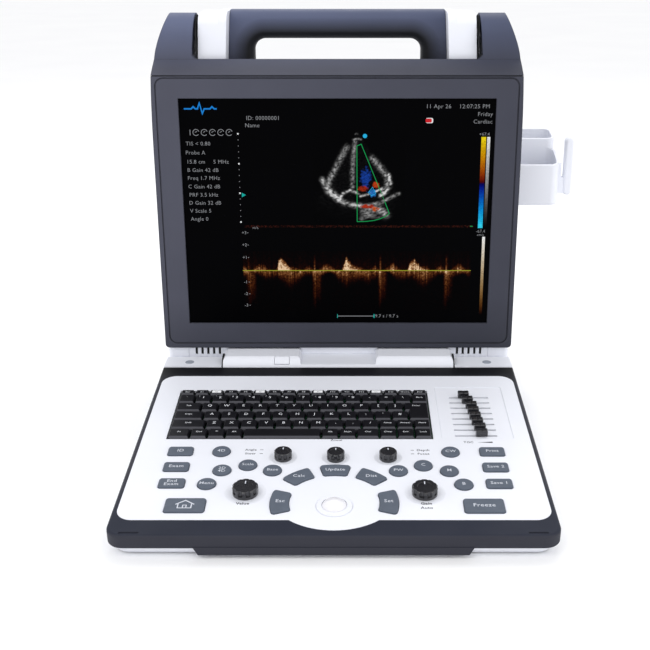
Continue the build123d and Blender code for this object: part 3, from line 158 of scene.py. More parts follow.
# ---------------------------------------------------------------- finishes
class NodeMaterial:
    """A node material under construction, with Object coordinates as its place."""

    def __init__(self, name: str) -> None:
        """Starts a material with a principled surface.

        Args:
            name: Name of the material.
        """
        self.material = bpy.data.materials.new(name)
        self.material.use_nodes = True
        self.tree = self.material.node_tree
        self.tree.nodes.clear()
        self.surface = self.add("ShaderNodeBsdfPrincipled")
        output = self.add("ShaderNodeOutputMaterial")
        self.tree.links.new(self.surface.outputs["BSDF"], output.inputs["Surface"])
        self.where = self.add("ShaderNodeTexCoord").outputs["Object"]

    def add(self, kind: str, settings: dict | None = None, inputs: dict | None = None) -> bpy.types.Node:
        """Adds a node.

        Args:
            kind: Blender's name of the node type.
            settings: Attributes of the node to set.
            inputs: Sockets to set, by name or number, with a value or a socket to link.

        Returns:
            The new node.
        """
        node = self.tree.nodes.new(kind)
        for key, value in (settings or {}).items():
            setattr(node, key, value)
        for key, value in (inputs or {}).items():
            self.feed(node.inputs[key], value)
        return node

    def feed(self, socket: Socket, value: object) -> None:
        """Sets a socket to a value, or links another socket to it.

        Args:
            socket: The input.
            value: A number, a colour or an output socket.
        """
        if isinstance(value, Socket):
            self.tree.links.new(value, socket)
        elif isinstance(value, tuple) and len(value) == 3 and len(socket.default_value) == 4:
            socket.default_value = (*value, 1.0)
        else:
            socket.default_value = value

    def set(self, **inputs: object) -> None:
        """Sets or links inputs of the surface, with _ for a space in their names."""
        for key, value in inputs.items():
            self.feed(self.surface.inputs[key.replace("_", " ")], value)

    def noise(self, scale: float, detail: float = 2.0, stretch: Colour = (1.0, 1.0, 1.0)) -> Socket:
        """Smooth noise over the piece.

        Args:
            scale: Features per metre.
            detail: Octaves of finer noise.
            stretch: Scale along each axis.

        Returns:
            The noise from 0 to 1.
        """
        mapping = self.add("ShaderNodeMapping", None, {"Vector": self.where, "Scale": stretch})
        inputs = {"Vector": mapping.outputs[0], "Scale": scale, "Detail": detail}
        return self.add("ShaderNodeTexNoise", None, inputs).outputs[0]

    def cells(self, scale: float, feature: str = "F1") -> Socket:
        """Distance pattern of a cell texture with that many cells per metre."""
        inputs = {"Vector": self.where, "Scale": scale}
        return self.add("ShaderNodeTexVoronoi", {"feature": feature}, inputs).outputs["Distance"]

    def spread(self, source: Socket, low: float, high: float, start: float = 0.3, end: float = 0.7) -> Socket:
        """Maps a source from start..end to low..high and clamps it.

        Args:
            source: The number to map.
            low: Result at the start.
            high: Result at the end.
            start: Source value that gives low.
            end: Source value that gives high.

        Returns:
            The mapped number.
        """
        inputs = {"Value": source, "From Min": start, "From Max": end, "To Min": low, "To Max": high}
        return self.add("ShaderNodeMapRange", None, inputs).outputs[0]

    def mix(self, factor: object, first: object, second: object) -> Socket:
        """Mixes two colours by a factor."""
        inputs = {0: factor, 6: first, 7: second}
        return self.add("ShaderNodeMix", {"data_type": "RGBA"}, inputs).outputs[2]

    def maths(self, operation: str, first: object, second: object = 0.0) -> Socket:
        """Result of one arithmetic node."""
        return self.add("ShaderNodeMath", {"operation": operation}, {0: first, 1: second}).outputs[0]

    def axes(self, vector: Socket) -> bpy.types.bpy_prop_collection:
        """The three parts of a vector."""
        return self.add("ShaderNodeSeparateXYZ", None, {0: vector}).outputs

    def times(self, colour: Socket, factor: Socket) -> Socket:
        """A colour multiplied by another, part by part."""
        return self.add("ShaderNodeVectorMath", {"operation": "MULTIPLY"}, {0: colour, 1: factor}).outputs[0]

    def rounded_edges(self, radius: float) -> tuple[Socket, Socket]:
        """Rounded shading at sharp edges, and where those edges are.

        Args:
            radius: Radius of the rounding in metres.

        Returns:
            The rounded normal, and a mask that is 1 on edges.
        """
        bevel = self.add("ShaderNodeBevel", {"samples": 4}, {"Radius": radius})
        plain = self.add("ShaderNodeNewGeometry")
        settings = {"operation": "DOT_PRODUCT"}
        dot = self.add("ShaderNodeVectorMath", settings, {0: bevel.outputs[0], 1: plain.outputs["Normal"]})
        mask = self.spread(dot.outputs["Value"], 1.0, 0.0, 0.82, 0.985)
        return bevel.outputs[0], mask

    def bump(
        self, height: Socket, depth: float, normal: Socket | None = None, strength: float = 1.0
    ) -> Socket:
        """Bumped normal.

        Args:
            height: Height pattern from 0 to 1.
            depth: Depth of the pattern in metres.
            normal: Normal to start from.
            strength: Strength from 0 to 1.

        Returns:
            The bumped normal.
        """
        inputs = {"Height": height, "Distance": depth, "Strength": strength}
        if normal is not None:
            inputs["Normal"] = normal
        return self.add("ShaderNodeBump", None, inputs).outputs[0]


@dataclass(frozen=True)
class Finish:
    """Look of one material slot."""

    name: str

    def make(self) -> bpy.types.Material:
        """Builds the material.

        Returns:
            The material.
        """
        book = NodeMaterial(self.name)
        self.dress(book)
        return book.material

    def dress(self, book: NodeMaterial) -> None:
        """Sets the surface of a new material; each finish has its own way."""
        raise NotImplementedError


@dataclass(frozen=True)
class PaintedLightRamp:
    """Painted light and shade: a slow change of a surface's tint along one axis, for how the light falls."""

    axis: int
    start: float
    end: float
    low: Colour
    high: Colour

    def tint(self, book: NodeMaterial, base: Socket) -> Socket:
        """Multiplies a colour by the painted light and shade ramp.

        Args:
            book: The material under construction.
            base: The colour to change.

        Returns:
            The colour with the painted light and shade.
        """
        parts = book.axes(book.where)
        share = book.spread(parts[self.axis], 0.0, 1.0, self.start, self.end)
        both = book.mix(share, self.low, self.high)
        return book.times(base, both)


@dataclass(frozen=True)
class PaintedFrontLight:
    """Painted light: another tone on the faces turned towards the user, for how the light falls on them."""

    colour: Colour
    lean: Spot = (-0.85, -0.45)

    def tint(self, book: NodeMaterial, base: Socket) -> Socket:
        """Mixes the tone into those faces.

        Args:
            book: The material under construction.
            base: The colour to change.

        Returns:
            The changed colour.
        """
        parts = book.axes(book.add("ShaderNodeTexCoord").outputs["Normal"])
        share = book.spread(parts[1], 1.0, 0.0, *self.lean)
        return book.mix(share, base, self.colour)


@dataclass(frozen=True)
class GripShade:
    """Painted shade round the handle's opening, darkest at its edge and fading outwards."""

    half_width: float = 0.0824
    under_z: float = 0.3603
    corner: float = 0.0115
    reach: Spot = (0.006, 0.020)
    darkest: float = 0.06
    front_y: float = -0.0175
    legs_out: float = 0.12
    legs_foot_z: float = 0.3335

    def tint(self, book: NodeMaterial, base: Socket) -> Socket:
        """Darkens a colour round the opening with painted shade.

        Args:
            book: The material under construction.
            base: The colour to change.

        Returns:
            The darkened colour.
        """
        parts = book.axes(book.where)
        side = book.maths("ABSOLUTE", parts[0])
        across = book.maths("MAXIMUM", book.maths("SUBTRACT", side, self.half_width - self.corner), 0.0)
        above = book.maths("MAXIMUM", book.maths("SUBTRACT", parts[2], self.under_z - self.corner), 0.0)
        squares = book.maths("ADD", book.maths("POWER", across, 2.0), book.maths("POWER", above, 2.0))
        away = book.maths("SUBTRACT", book.maths("SQRT", squares), self.corner)
        share = book.spread(away, self.darkest, 1.0, *self.reach)
        on_handle = book.maths("LESS_THAN", side, self.legs_out)
        for part, start in ((parts[2], self.legs_foot_z), (parts[1], self.front_y)):
            on_handle = book.maths("MULTIPLY", on_handle, book.maths("GREATER_THAN", part, start))
        factor = book.mix(on_handle, (1.0, 1.0, 1.0), share)
        return book.times(base, factor)


@dataclass(frozen=True)
class MouldedPlastic(Finish):
    """Injection-moulded plastic with a fine spark texture, an edge tone and painted light ramps; the edge
    tone is real wear on most slots, a painted highlight on the keys and a painted dark outline on the dark
    housing.
    """

    colour: Colour
    roughness: float = 0.48
    grain: float = 1500.0
    depth: float = 0.00003
    drift: float = 0.06
    edge_tone_wear_and_light: float = 1.25
    edge: float = 0.0006
    specular: float = 0.35
    coat: float = 0.0
    painted_light: tuple[PaintedLightRamp | GripShade | PaintedFrontLight, ...] = ()
    cover: Spot = (0.15, 0.8)

    def dress(self, book: NodeMaterial) -> None:
        """Sets the surface of a new material.

        Args:
            book: The material under construction.
        """
        normal, edges = book.rounded_edges(self.edge)
        broad = book.noise(14.0, 3.0)
        fine = book.noise(self.grain, 2.0)
        # Edge tone: real wear on most slots, a painted highlight on the keys and a painted dark outline on
        # the dark housing.
        wear_and_light_edges = book.maths("MULTIPLY", edges, book.spread(book.noise(90.0, 4.0), *self.cover))
        darker = scaled(self.colour, 1.0 - self.drift)
        lighter = scaled(self.colour, 1.0 + self.drift)
        base = book.mix(book.spread(broad, 0.0, 1.0), darker, lighter)
        specks = book.spread(fine, 0.0, 0.35, 0.45, 0.75)
        mottled = book.mix(specks, base, scaled(self.colour, 1.0 + self.drift * 1.6))
        base = book.mix(wear_and_light_edges, mottled, scaled(self.colour, self.edge_tone_wear_and_light))
        # Painted light and shade ramps over the colour.
        for fade in self.painted_light:
            base = fade.tint(book, base)
        smear = book.spread(book.noise(35.0, 5.0), self.roughness - 0.05, self.roughness + 0.07)
        polished = book.maths("MULTIPLY", wear_and_light_edges, 0.12)
        book.set(
            Base_Color=base,
            Roughness=book.maths("SUBTRACT", smear, polished),
            Normal=book.bump(fine, self.depth, normal, 0.6),
            Specular_IOR_Level=self.specular,
            Coat_Weight=self.coat,
            Coat_Roughness=0.18,
        )


@dataclass(frozen=True)
class Rubber(Finish):
    """Soft moulded rubber or silicone with a dusty bloom."""

    colour: Colour
    roughness: float = 0.62
    bloom: float = 1.22
    edge: float = 0.0005

    def dress(self, book: NodeMaterial) -> None:
        """Sets the surface of a new material.

        Args:
            book: The material under construction.
        """
        normal, edges = book.rounded_edges(self.edge)
        cloud = book.spread(book.noise(120.0, 5.0), 0.0, 0.7)
        base = book.mix(cloud, scaled(self.colour, 0.93), scaled(self.colour, self.bloom * 0.9))
        base = book.mix(book.maths("MULTIPLY", edges, 0.7), base, scaled(self.colour, self.bloom * 1.15))
        pores = book.cells(1700.0)
        rough = book.spread(book.noise(220.0, 3.0), self.roughness - 0.06, self.roughness + 0.08)
        book.set(
            Base_Color=base,
            Roughness=rough,
            Normal=book.bump(pores, 0.00002, normal, 0.5),
            Specular_IOR_Level=0.4,
        )


@dataclass(frozen=True)
class Metal(Finish):
    """Turned or plated metal with fine scratches."""

    colour: Colour
    roughness: float = 0.28

    def dress(self, book: NodeMaterial) -> None:
        """Sets the surface of a new material.

        Args:
            book: The material under construction.
        """
        normal, edges = book.rounded_edges(0.0003)
        brushed = book.noise(900.0, 3.0, (1.0, 6.0, 0.3))
        tarnish = book.spread(book.noise(160.0, 4.0), 0.0, 0.6)
        base = book.mix(tarnish, self.colour, scaled(self.colour, 0.72))
        base = book.mix(edges, base, scaled(self.colour, 1.2))
        book.set(
            Base_Color=base,
            Metallic=1.0,
            Roughness=book.spread(brushed, self.roughness - 0.08, self.roughness + 0.14),
            Normal=book.bump(brushed, 0.00001, normal, 0.5),
        )


@dataclass(frozen=True)
class CircuitBoard(Finish):
    """Green solder mask over copper traces and pads."""

    mask: Colour = shade(22, 84, 52)
    copper: Colour = shade(58, 132, 84)

    def dress(self, book: NodeMaterial) -> None:
        """Sets the surface of a new material.

        Args:
            book: The material under construction.
        """
        settings = {"wave_type": "BANDS", "bands_direction": "DIAGONAL"}
        inputs = {"Vector": book.where, "Scale": 160.0, "Distortion": 3.0, "Detail": 1.0}
        wave = book.add("ShaderNodeTexWave", settings, inputs).outputs[1]
        traces = book.spread(wave, 0.0, 1.0, 0.72, 0.78)
        pads = book.spread(book.cells(420.0), 1.0, 0.0, 0.12, 0.16)
        base = book.mix(traces, self.mask, self.copper)
        base = book.mix(pads, base, shade(190, 170, 110))
        book.set(
            Base_Color=base,
            Roughness=book.spread(pads, 0.42, 0.25, 0.0, 1.0),
            Metallic=book.maths("MULTIPLY", pads, 0.8),
            Normal=book.bump(traces, 0.00004, None, 0.5),
        )


@dataclass(frozen=True)
class PanelGlass(Finish):
    """Dark anti-glare front of the display."""

    colour: Colour = shade(1, 1, 2)

    def dress(self, book: NodeMaterial) -> None:
        """Sets the surface of a new material.

        Args:
            book: The material under construction.
        """
        grime = book.spread(book.noise(26.0, 6.0), 0.0, 1.0, 0.45, 0.75)
        haze = book.noise(2600.0, 1.0)
        book.set(
            Base_Color=book.mix(grime, self.colour, scaled(self.colour, 1.5)),
            Roughness=book.spread(grime, 0.34, 0.44, 0.0, 1.0),
            Normal=book.bump(haze, 0.000008, None, 0.3),
            Specular_IOR_Level=0.02,
        )


@dataclass(frozen=True)
class ScreenLight(Finish):
    """Lit picture elements of the display, in one colour or in a mesh's own colours."""

    colour: Colour | None = None
    strength: float = 1.0

    def dress(self, book: NodeMaterial) -> None:
        """Sets the surface of a new material.

        Args:
            book: The material under construction.
        """
        settings = {"wave_type": "BANDS", "bands_direction": "Z"}
        rows = book.add("ShaderNodeTexWave", settings, {"Vector": book.where, "Scale": 520.0}).outputs[1]
        speckle = book.spread(book.noise(1500.0, 2.0), 0.55, 1.25)
        lit = book.spread(rows, 0.86, 1.0, 0.0, 1.0)
        if self.colour is None:
            picture = book.add("ShaderNodeVertexColor", {"layer_name": "picture"}).outputs[0]
            lit = book.maths("MULTIPLY", lit, speckle)
        else:
            picture = self.colour
        glow = book.mix(lit, (0.0, 0.0, 0.0), picture)
        book.set(
            Base_Color=book.mix(speckle, shade(0, 0, 0), shade(1, 1, 2)),
            Roughness=book.spread(speckle, 0.36, 0.44, 0.5, 1.3),
            Specular_IOR_Level=0.02,
            Emission_Color=glow,
            Emission_Strength=self.strength,
        )


@dataclass(frozen=True)
class PrintedInk(Finish):
    """Screen-printed ink with slightly uneven cover."""

    colour: Colour
    roughness: float = 0.5

    def dress(self, book: NodeMaterial) -> None:
        """Sets the surface of a new material.

        Args:
            book: The material under construction.
        """
        cover = book.spread(book.noise(1400.0, 3.0), 0.0, 1.0)
        book.set(
            Base_Color=book.mix(cover, scaled(self.colour, 0.86), self.colour),
            Roughness=book.spread(cover, self.roughness + 0.1, self.roughness, 0.0, 1.0),
            Normal=book.bump(cover, 0.000008, None, 0.4),
            Specular_IOR_Level=0.3,
        )


# Painted light on the head: lighter and bluer towards its top, painted shade towards its bottom, lighter at
# the left and darker at the right, and painted shade round the handle's opening.
HEAD_PAINTED_LIGHT = (
    PaintedLightRamp(2, 0.335, 0.378, (1.0, 1.0, 1.0), (1.55, 1.75, 2.1)),
    PaintedLightRamp(2, 0.052, 0.110, (0.62, 0.63, 0.64), (1.0, 1.0, 1.0)),
    PaintedLightRamp(0, -0.140, 0.175, (1.08, 1.06, 1.05), (0.66, 0.66, 0.68)),
    GripShade(),
)
# Painted light on the deck trim: painted shadow of the head, darkest towards the rear; painted shade towards
# the front; and the faces turned to the user painted back to the trim's own tone as lit faces.
DECK_PAINTED_LIGHT = (
    PaintedLightRamp(1, -0.135, -0.104, (1.0, 1.0, 1.0), (0.12, 0.12, 0.13)),
    PaintedLightRamp(1, -0.335, -0.300, (0.5, 0.58, 0.74), (1.0, 1.0, 1.0)),
    PaintedFrontLight(shade(49, 50, 59)),
)
# Painted highlight on the keys' faces turned towards the user.
KEY_PAINTED_LIGHT = (PaintedFrontLight(shade(76, 76, 82)),)


class Slot(Enum):
    """Material slots of the record, with the finish of each."""

    # Head plastic: besides its painted light ramps, its edges are darkened as a painted dark outline.
    DARK_HOUSING = MouldedPlastic(
        "dark_housing", shade(67, 69, 82), 0.55, 1400.0, 0.00004,
        edge_tone_wear_and_light=0.2, edge=0.0011, specular=0.3, painted_light=HEAD_PAINTED_LIGHT, cover=(0.8, 1.0),
    )
    WHITE_HOUSING = MouldedPlastic(
        "white_housing", shade(231, 233, 241), 0.42, 1700.0, 0.00002, drift=0.02, edge_tone_wear_and_light=1.04
    )
    DECK_TRIM = MouldedPlastic(
        "deck_trim", shade(49, 50, 59), 0.55, edge_tone_wear_and_light=1.3, edge=0.0008, specular=0.2, painted_light=DECK_PAINTED_LIGHT
    )
    BUTTON_SLATE = Rubber("button_slate", shade(84, 92, 105))
    KNOB_BLACK = MouldedPlastic(
        "knob_black", shade(34, 34, 38), 0.22, 1200.0, 0.00001, 0.1,
        edge_tone_wear_and_light=1.9, edge=0.0004, specular=0.5, coat=0.5,
    )
    # Keys: their edges and their front faces carry a painted highlight.
    KEY_BLACK = MouldedPlastic(
        "key_black", shade(19, 19, 24), 0.4, 1300.0, 0.00002, 0.1,
        edge_tone_wear_and_light=3.4, edge=0.0004, specular=0.2, painted_light=KEY_PAINTED_LIGHT, cover=(0.5, 1.0),
    )
    BALL_WHITE = MouldedPlastic(
        "ball_white", shade(232, 231, 236), 0.16, 700.0, 0.000004, 0.02,
        edge_tone_wear_and_light=1.02, edge=0.0003, specular=0.5, coat=0.5,
    )
    DISPLAY = PanelGlass("display")
    STEEL = Metal("steel", shade(176, 178, 184))
    RUBBER = Rubber("rubber", shade(34, 34, 37))
    CIRCUIT_BOARD = CircuitBoard("circuit_board")
    BATTERY_CASE = MouldedPlastic("battery_case", shade(58, 60, 68), 0.55)
    FAN_PLASTIC = MouldedPlastic("fan_plastic", shade(30, 31, 34), 0.46)
    SOCKET_BLACK = MouldedPlastic("socket_black", shade(32, 33, 36), 0.5)


class Ink(Enum):
    """Finishes of printed marks, contacts and lit screen elements."""

    WHITE_PRINT = PrintedInk("legend_white", shade(214, 218, 228))
    KEY_PRINT = PrintedInk("key_legend", shade(236, 238, 244))
    DARK_PRINT = PrintedInk("panel_print", shade(36, 38, 48))
    KEY_BOX = PrintedInk("key_box", shade(246, 247, 250))
    CAP_GREY = MouldedPlastic("cap_grey", shade(150, 156, 168), 0.4)
    GOLD = Metal("contact_gold", shade(214, 178, 96), 0.2)
    # Black rubber of the fold-pin washers; the same black is painted shade in the vent slots and in the gaps
    # at the tilt axles.
    VENT_BLACK = Rubber("vent_foam", shade(12, 12, 14), 0.8)
    SCREEN_GREY = ScreenLight("screen_grey", shade(150, 152, 156), 0.9)
    SCREEN_WHITE = ScreenLight("screen_white", shade(232, 234, 236))
    SCREEN_BLUE = ScreenLight("screen_blue", shade(30, 130, 215))
    SCREEN_CYAN = ScreenLight("screen_cyan", shade(40, 178, 226))
    SCREEN_TEAL = ScreenLight("screen_teal", shade(24, 170, 160))
    SCREEN_GREEN = ScreenLight("screen_green", shade(22, 150, 78))
    SCREEN_LIME = ScreenLight("screen_lime", shade(150, 158, 40))
    SCREEN_RED = ScreenLight("screen_red", shade(205, 36, 44))
    SCREEN_PICTURE = ScreenLight("screen_picture", None)


MADE: dict[str, bpy.types.Material] = {}


def finish(option: Slot | Ink) -> bpy.types.Material:
    """The material of a finish, built once.

    Args:
        option: The finish wanted.

    Returns:
        The material.
    """
    if option.name not in MADE:
        MADE[option.name] = option.value.make()
    return MADE[option.name]


# ---------------------------------------------------------------- mesh helpers
def piece(name: str, mesh: bpy.types.Mesh, body: str) -> bpy.types.Object:
    """Puts a finished mesh in the scene and lets it ride on a body.

    Args:
        name: Name of the piece.
        mesh: Its mesh, already in place.
        body: The CAD body it moves with.

    Returns:
        The new object.
    """
    thing = bpy.data.objects.new(name, mesh)
    mesh.name = name
    bpy.context.scene.collection.objects.link(thing)
    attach(thing, body)
    log.info("%s rides on %s with %d faces", name, body, len(mesh.polygons))
    return thing


def letter_shapes(words: str, size: float, weight: float = 0.0) -> Shape:
    """Flat outlines of a few characters as faces, centred on the origin.

    Args:
        words: The characters.
        size: Type size in millimetres.
        weight: Extra boldness as a share of the size.

    Returns:
        Points in metres and faces.
    """
    curve = bpy.data.curves.new("letters", "FONT")
    curve.body = words
    curve.size = size * MM
    curve.align_x = "CENTER"
    curve.align_y = "CENTER"
    curve.resolution_u = 2
    curve.space_line = 0.85
    curve.space_character = 1.06
    curve.offset = size * MM * weight
    thing = bpy.data.objects.new("letters", curve)
    bpy.context.scene.collection.objects.link(thing)
    solved = thing.evaluated_get(bpy.context.evaluated_depsgraph_get())
    mesh = bpy.data.meshes.new_from_object(solved)
    points = np.array([list(vertex.co) for vertex in mesh.vertices])
    faces = [tuple(polygon.vertices) for polygon in mesh.polygons]
    bpy.data.objects.remove(thing)
    bpy.data.curves.remove(curve)
    bpy.data.meshes.remove(mesh)
    return points, faces


def ribbon(path: Path, width: float, closed: bool = False) -> Shape:
    """Flat line of even width through points in a plane.

    Args:
        path: Points in millimetres.
        width: Width in millimetres.
        closed: Whether the line returns to its start.

    Returns:
        Points in metres and faces.
    """
    line = np.array(path, float)
    count = len(line)
    sides = []
    for index in range(count):
        before = line[index - 1] if index or closed else line[index]
        after = line[(index + 1) % count] if index < count - 1 or closed else line[index]
        first = line[index] - before
        second = after - line[index]
        first = first / (np.linalg.norm(first) or 1.0)
        second = second / (np.linalg.norm(second) or 1.0)
        along = first + second
        along = along / (np.linalg.norm(along) or 1.0)
        normal = np.array([-along[1], along[0]])
        known = first if np.linalg.norm(first) > 0 else second
        lean = max(0.4, float(normal @ np.array([-known[1], known[0]])))
        sides.append((line[index] - normal * width / 2 / lean, line[index] + normal * width / 2 / lean))
    points = np.array([[*p, 0.0] for pair in sides for p in pair]) * MM
    last = count if closed else count - 1
    faces = []
    for index in range(last):
        here, there = 2 * index, 2 * ((index + 1) % count)
        faces.append((here, there, there + 1, here + 1))
    return points, faces


def round_box(width: float, depth: float, corner: float, steps: int = 4) -> Path:
    """Outline of a rectangle with round corners, anticlockwise from the lower right.

    Args:
        width: Size across in millimetres.
        depth: Size along in millimetres.
        corner: Corner radius in millimetres.
        steps: Chords per corner.

    Returns:
        The outline's points in millimetres.
    """
    outline = []
    for number, (sx, sy) in enumerate(((1, -1), (1, 1), (-1, 1), (-1, -1))):
        for step in range(steps + 1):
            angle = math.radians(90 * (number - 1) + 90 * step / steps)
            x = sx * (width / 2 - corner) + corner * math.cos(angle)
            y = sy * (depth / 2 - corner) + corner * math.sin(angle)
            outline.append((x, y))
    return outline


@dataclass
class Marks:
    """Flat marks of several finishes gathered into one piece."""

    name: str
    body: str
    inks: list[Ink]
    points: list[np.ndarray] = field(default_factory=list)
    faces: list[tuple[int, ...]] = field(default_factory=list)
    slots: list[int] = field(default_factory=list)

    def add(self, shape: Shape, place: Matrix, ink: Ink) -> None:
        """Adds faces at a place.

        Args:
            shape: Points in metres and faces.
            place: Where the shape goes.
            ink: Its finish.
        """
        points, faces = shape
        if not len(points):
            return
        first = sum(len(block) for block in self.points)
        self.points.append(moved(place, points))
        self.faces += [tuple(first + corner for corner in face) for face in faces]
        self.slots += [self.inks.index(ink)] * len(faces)

    def words(self, words: str, size: float, place: Matrix, ink: Ink, weight: float = 0.0) -> None:
        """Adds characters centred on a place."""
        self.add(letter_shapes(words, size, weight), place, ink)

    def line(self, path: Path, width: float, place: Matrix, ink: Ink, closed: bool = False) -> None:
        """Adds a line of even width."""
        self.add(ribbon(path, width, closed), place, ink)

    def patch(self, outline: Path, place: Matrix, ink: Ink) -> None:
        """Adds a filled outline given in millimetres."""
        points = np.array([[x, y, 0.0] for x, y in outline]) * MM
        self.add((points, [tuple(range(len(points)))]), place, ink)

    def build(self) -> bpy.types.Object:
        """Makes the piece.

        Returns:
            The object, riding on its body.
        """
        mesh = bpy.data.meshes.new(self.name)
        mesh.from_pydata(np.concatenate(self.points).tolist(), [], self.faces)
        for ink in self.inks:
            mesh.materials.append(finish(ink))
        mesh.polygons.foreach_set("material_index", self.slots)
        return piece(self.name, mesh, self.body)


class Repeat(Enum):
    """Shapes that a row or a field repeats."""

    PIN = "round contact pin"
    DOT = "flat round dot"
    RIB = "raised grip rib"


@dataclass(frozen=True)
class RepeatField:
    """Rows and columns of one small shape, made with geometry nodes."""

    shape: Repeat
    columns: int
    rows: int
    pitch_x: float
    pitch_y: float
    size: float
    height: float
    ink: Ink
    length: float = 1.0

    def tree(self) -> bpy.types.NodeTree:
        """Builds the node tree: two lines of points, the shape on each, realised.

        Returns:
            The tree.
        """
        tree = bpy.data.node_groups.new(f"repeat_{self.shape.name.lower()}", "GeometryNodeTree")
        tree.interface.new_socket("Geometry", in_out="OUTPUT", socket_type="NodeSocketGeometry")
        for label in ("Columns", "Rows"):
            tree.interface.new_socket(label, in_out="INPUT", socket_type="NodeSocketInt")
        for label in ("Pitch X", "Pitch Y", "Size", "Height", "Length"):
            tree.interface.new_socket(label, in_out="INPUT", socket_type="NodeSocketFloat")

        def wired(kind: str, sources: dict) -> bpy.types.Node:
            """Adds a node with its inputs linked.

            Args:
                kind: Blender's name of the node type.
                sources: Output socket for each input, by name or number.

            Returns:
                The new node.
            """
            node = tree.nodes.new(kind)
            for key, source in sources.items():
                tree.links.new(source, node.inputs[key])
            return node

        given = tree.nodes.new("NodeGroupInput").outputs
        lines = []
        for count, pitch, axis in (("Columns", "Pitch X", "X"), ("Rows", "Pitch Y", "Y")):
            step = wired("ShaderNodeCombineXYZ", {axis: given[pitch]}).outputs[0]
            lines.append(wired("GeometryNodeMeshLine", {"Count": given[count], "Offset": step}).outputs[0])
        grid = wired("GeometryNodeInstanceOnPoints", {"Points": lines[0], "Instance": lines[1]})
        spots = wired("GeometryNodeRealizeInstances", {0: grid.outputs[0]}).outputs[0]
        if self.shape is Repeat.RIB:
            sides = {"X": given["Size"], "Y": given["Length"], "Z": given["Height"]}
            extent = wired("ShaderNodeCombineXYZ", sides).outputs[0]
            item = wired("GeometryNodeMeshCube", {"Size": extent})
        else:
            item = wired("GeometryNodeMeshCylinder", {"Radius": given["Size"], "Depth": given["Height"]})
            item.inputs["Vertices"].default_value = PIN_CORNERS
        copies = wired("GeometryNodeInstanceOnPoints", {"Points": spots, "Instance": item.outputs[0]})
        real = wired("GeometryNodeRealizeInstances", {0: copies.outputs[0]}).outputs[0]
        coat = wired("GeometryNodeSetMaterial", {"Geometry": real})
        coat.inputs["Material"].default_value = finish(self.ink)
        wired("NodeGroupOutput", {0: coat.outputs[0]})
        return tree

    def build(self, name: str, body: str, place: Matrix) -> bpy.types.Object:
        """Makes the field as a plain mesh, centred on a place.

        Args:
            name: Name of the piece.
            body: The CAD body it moves with.
            place: Middle of the field, with the shapes standing along Z.

        Returns:
            The piece.
        """
        tree = self.tree()
        carrier = bpy.data.objects.new("carrier", bpy.data.meshes.new("carrier"))
        bpy.context.scene.collection.objects.link(carrier)
        modifier = carrier.modifiers.new("repeat", "NODES")
        modifier.node_group = tree
        values = {
            "Columns": self.columns,
            "Rows": self.rows,
            "Pitch X": self.pitch_x * MM,
            "Pitch Y": self.pitch_y * MM,
            "Size": self.size * MM,
            "Height": self.height * MM,
            "Length": self.length * MM,
        }
        for item in tree.interface.items_tree:
            if item.in_out == "INPUT":
                modifier[item.identifier] = values[item.name]
        solved = carrier.evaluated_get(bpy.context.evaluated_depsgraph_get())
        mesh = bpy.data.meshes.new_from_object(solved)
        bpy.data.objects.remove(carrier)
        half_x = (self.columns - 1) * self.pitch_x / 2
        half_y = (self.rows - 1) * self.pitch_y / 2
        offset = Vector((-half_x, -half_y, 0)) * MM
        mesh.transform(place @ Matrix.Translation(offset))
        return piece(name, mesh, body)


def around(work: bmesh.types.BMesh, radii: list[float], level: float) -> list[bmesh.types.BMVert]:
    """Adds a ring of corners round the Z axis.

    Args:
        work: The mesh under construction.
        radii: Radius of each corner in millimetres, in even steps of angle.
        level: Height of the ring in millimetres.

    Returns:
        The new corners.
    """
    angles = [2 * math.pi * step / len(radii) for step in range(len(radii))]
    spots = [(r * math.cos(a), r * math.sin(a), level) for r, a in zip(radii, angles)]
    return [work.verts.new([part * MM for part in spot]) for spot in spots]


def join_rings(work: bmesh.types.BMesh, rings: list[list[bmesh.types.BMVert]]) -> None:
    """Adds the faces between each ring and the next.

    Args:
        work: The mesh under construction.
        rings: Rings of equal count, in order.
    """
    for low, high in zip(rings, rings[1:]):
        for step in range(len(low)):
            after = (step + 1) % len(low)
            work.faces.new((low[step], low[after], high[after], high[step]))


def turned_disc(radius: float, height: float, bevel: float, steps: int = 32) -> bpy.types.Mesh:
    """Low round cap with a bevelled rim, standing on the origin.

    Args:
        radius: Radius in millimetres.
        height: Height in millimetres.
        bevel: Rim bevel in millimetres.
        steps: Corners round the rim.

    Returns:
        The mesh in metres.
    """
    crown = (radius * 0.3, height * 1.04)
    profile = [(radius, 0.0), (radius, height - bevel), (radius - bevel, height), crown]
    work = bmesh.new()
    rings = [around(work, [ring_radius] * steps, level) for ring_radius, level in profile]
    join_rings(work, rings)
    work.faces.new(rings[-1])
    work.faces.new(list(reversed(rings[0])))
    mesh = bpy.data.meshes.new("disc")
    work.to_mesh(mesh)
    work.free()
    return mesh


def turned_ring(
    inner: float, outer: float, thickness: float, skirt: float, steps: int = 48
) -> bpy.types.Mesh:
    """Flat ring round the Z axis, centred on the origin.

    Args:
        inner: Inner radius in millimetres.
        outer: Outer radius in millimetres.
        thickness: Thickness along Z in millimetres.
        skirt: Outer radius on the +X side in millimetres.
        steps: Corners round the ring.

    Returns:
        The mesh in metres.
    """
    half = thickness / 2
    angles = [2 * math.pi * step / steps for step in range(steps)]
    inside = [inner] * steps
    outside = [skirt if math.cos(angle) > SKIRT_START else outer for angle in angles]
    work = bmesh.new()
    profile = [(inside, -half), (outside, -half), (outside, half), (inside, half)]
    rings = [around(work, radii, level) for radii, level in profile]
    join_rings(work, rings + rings[:1])
    bmesh.ops.recalc_face_normals(work, faces=work.faces)
    mesh = bpy.data.meshes.new("ring")
    work.to_mesh(mesh)
    work.free()
    return mesh


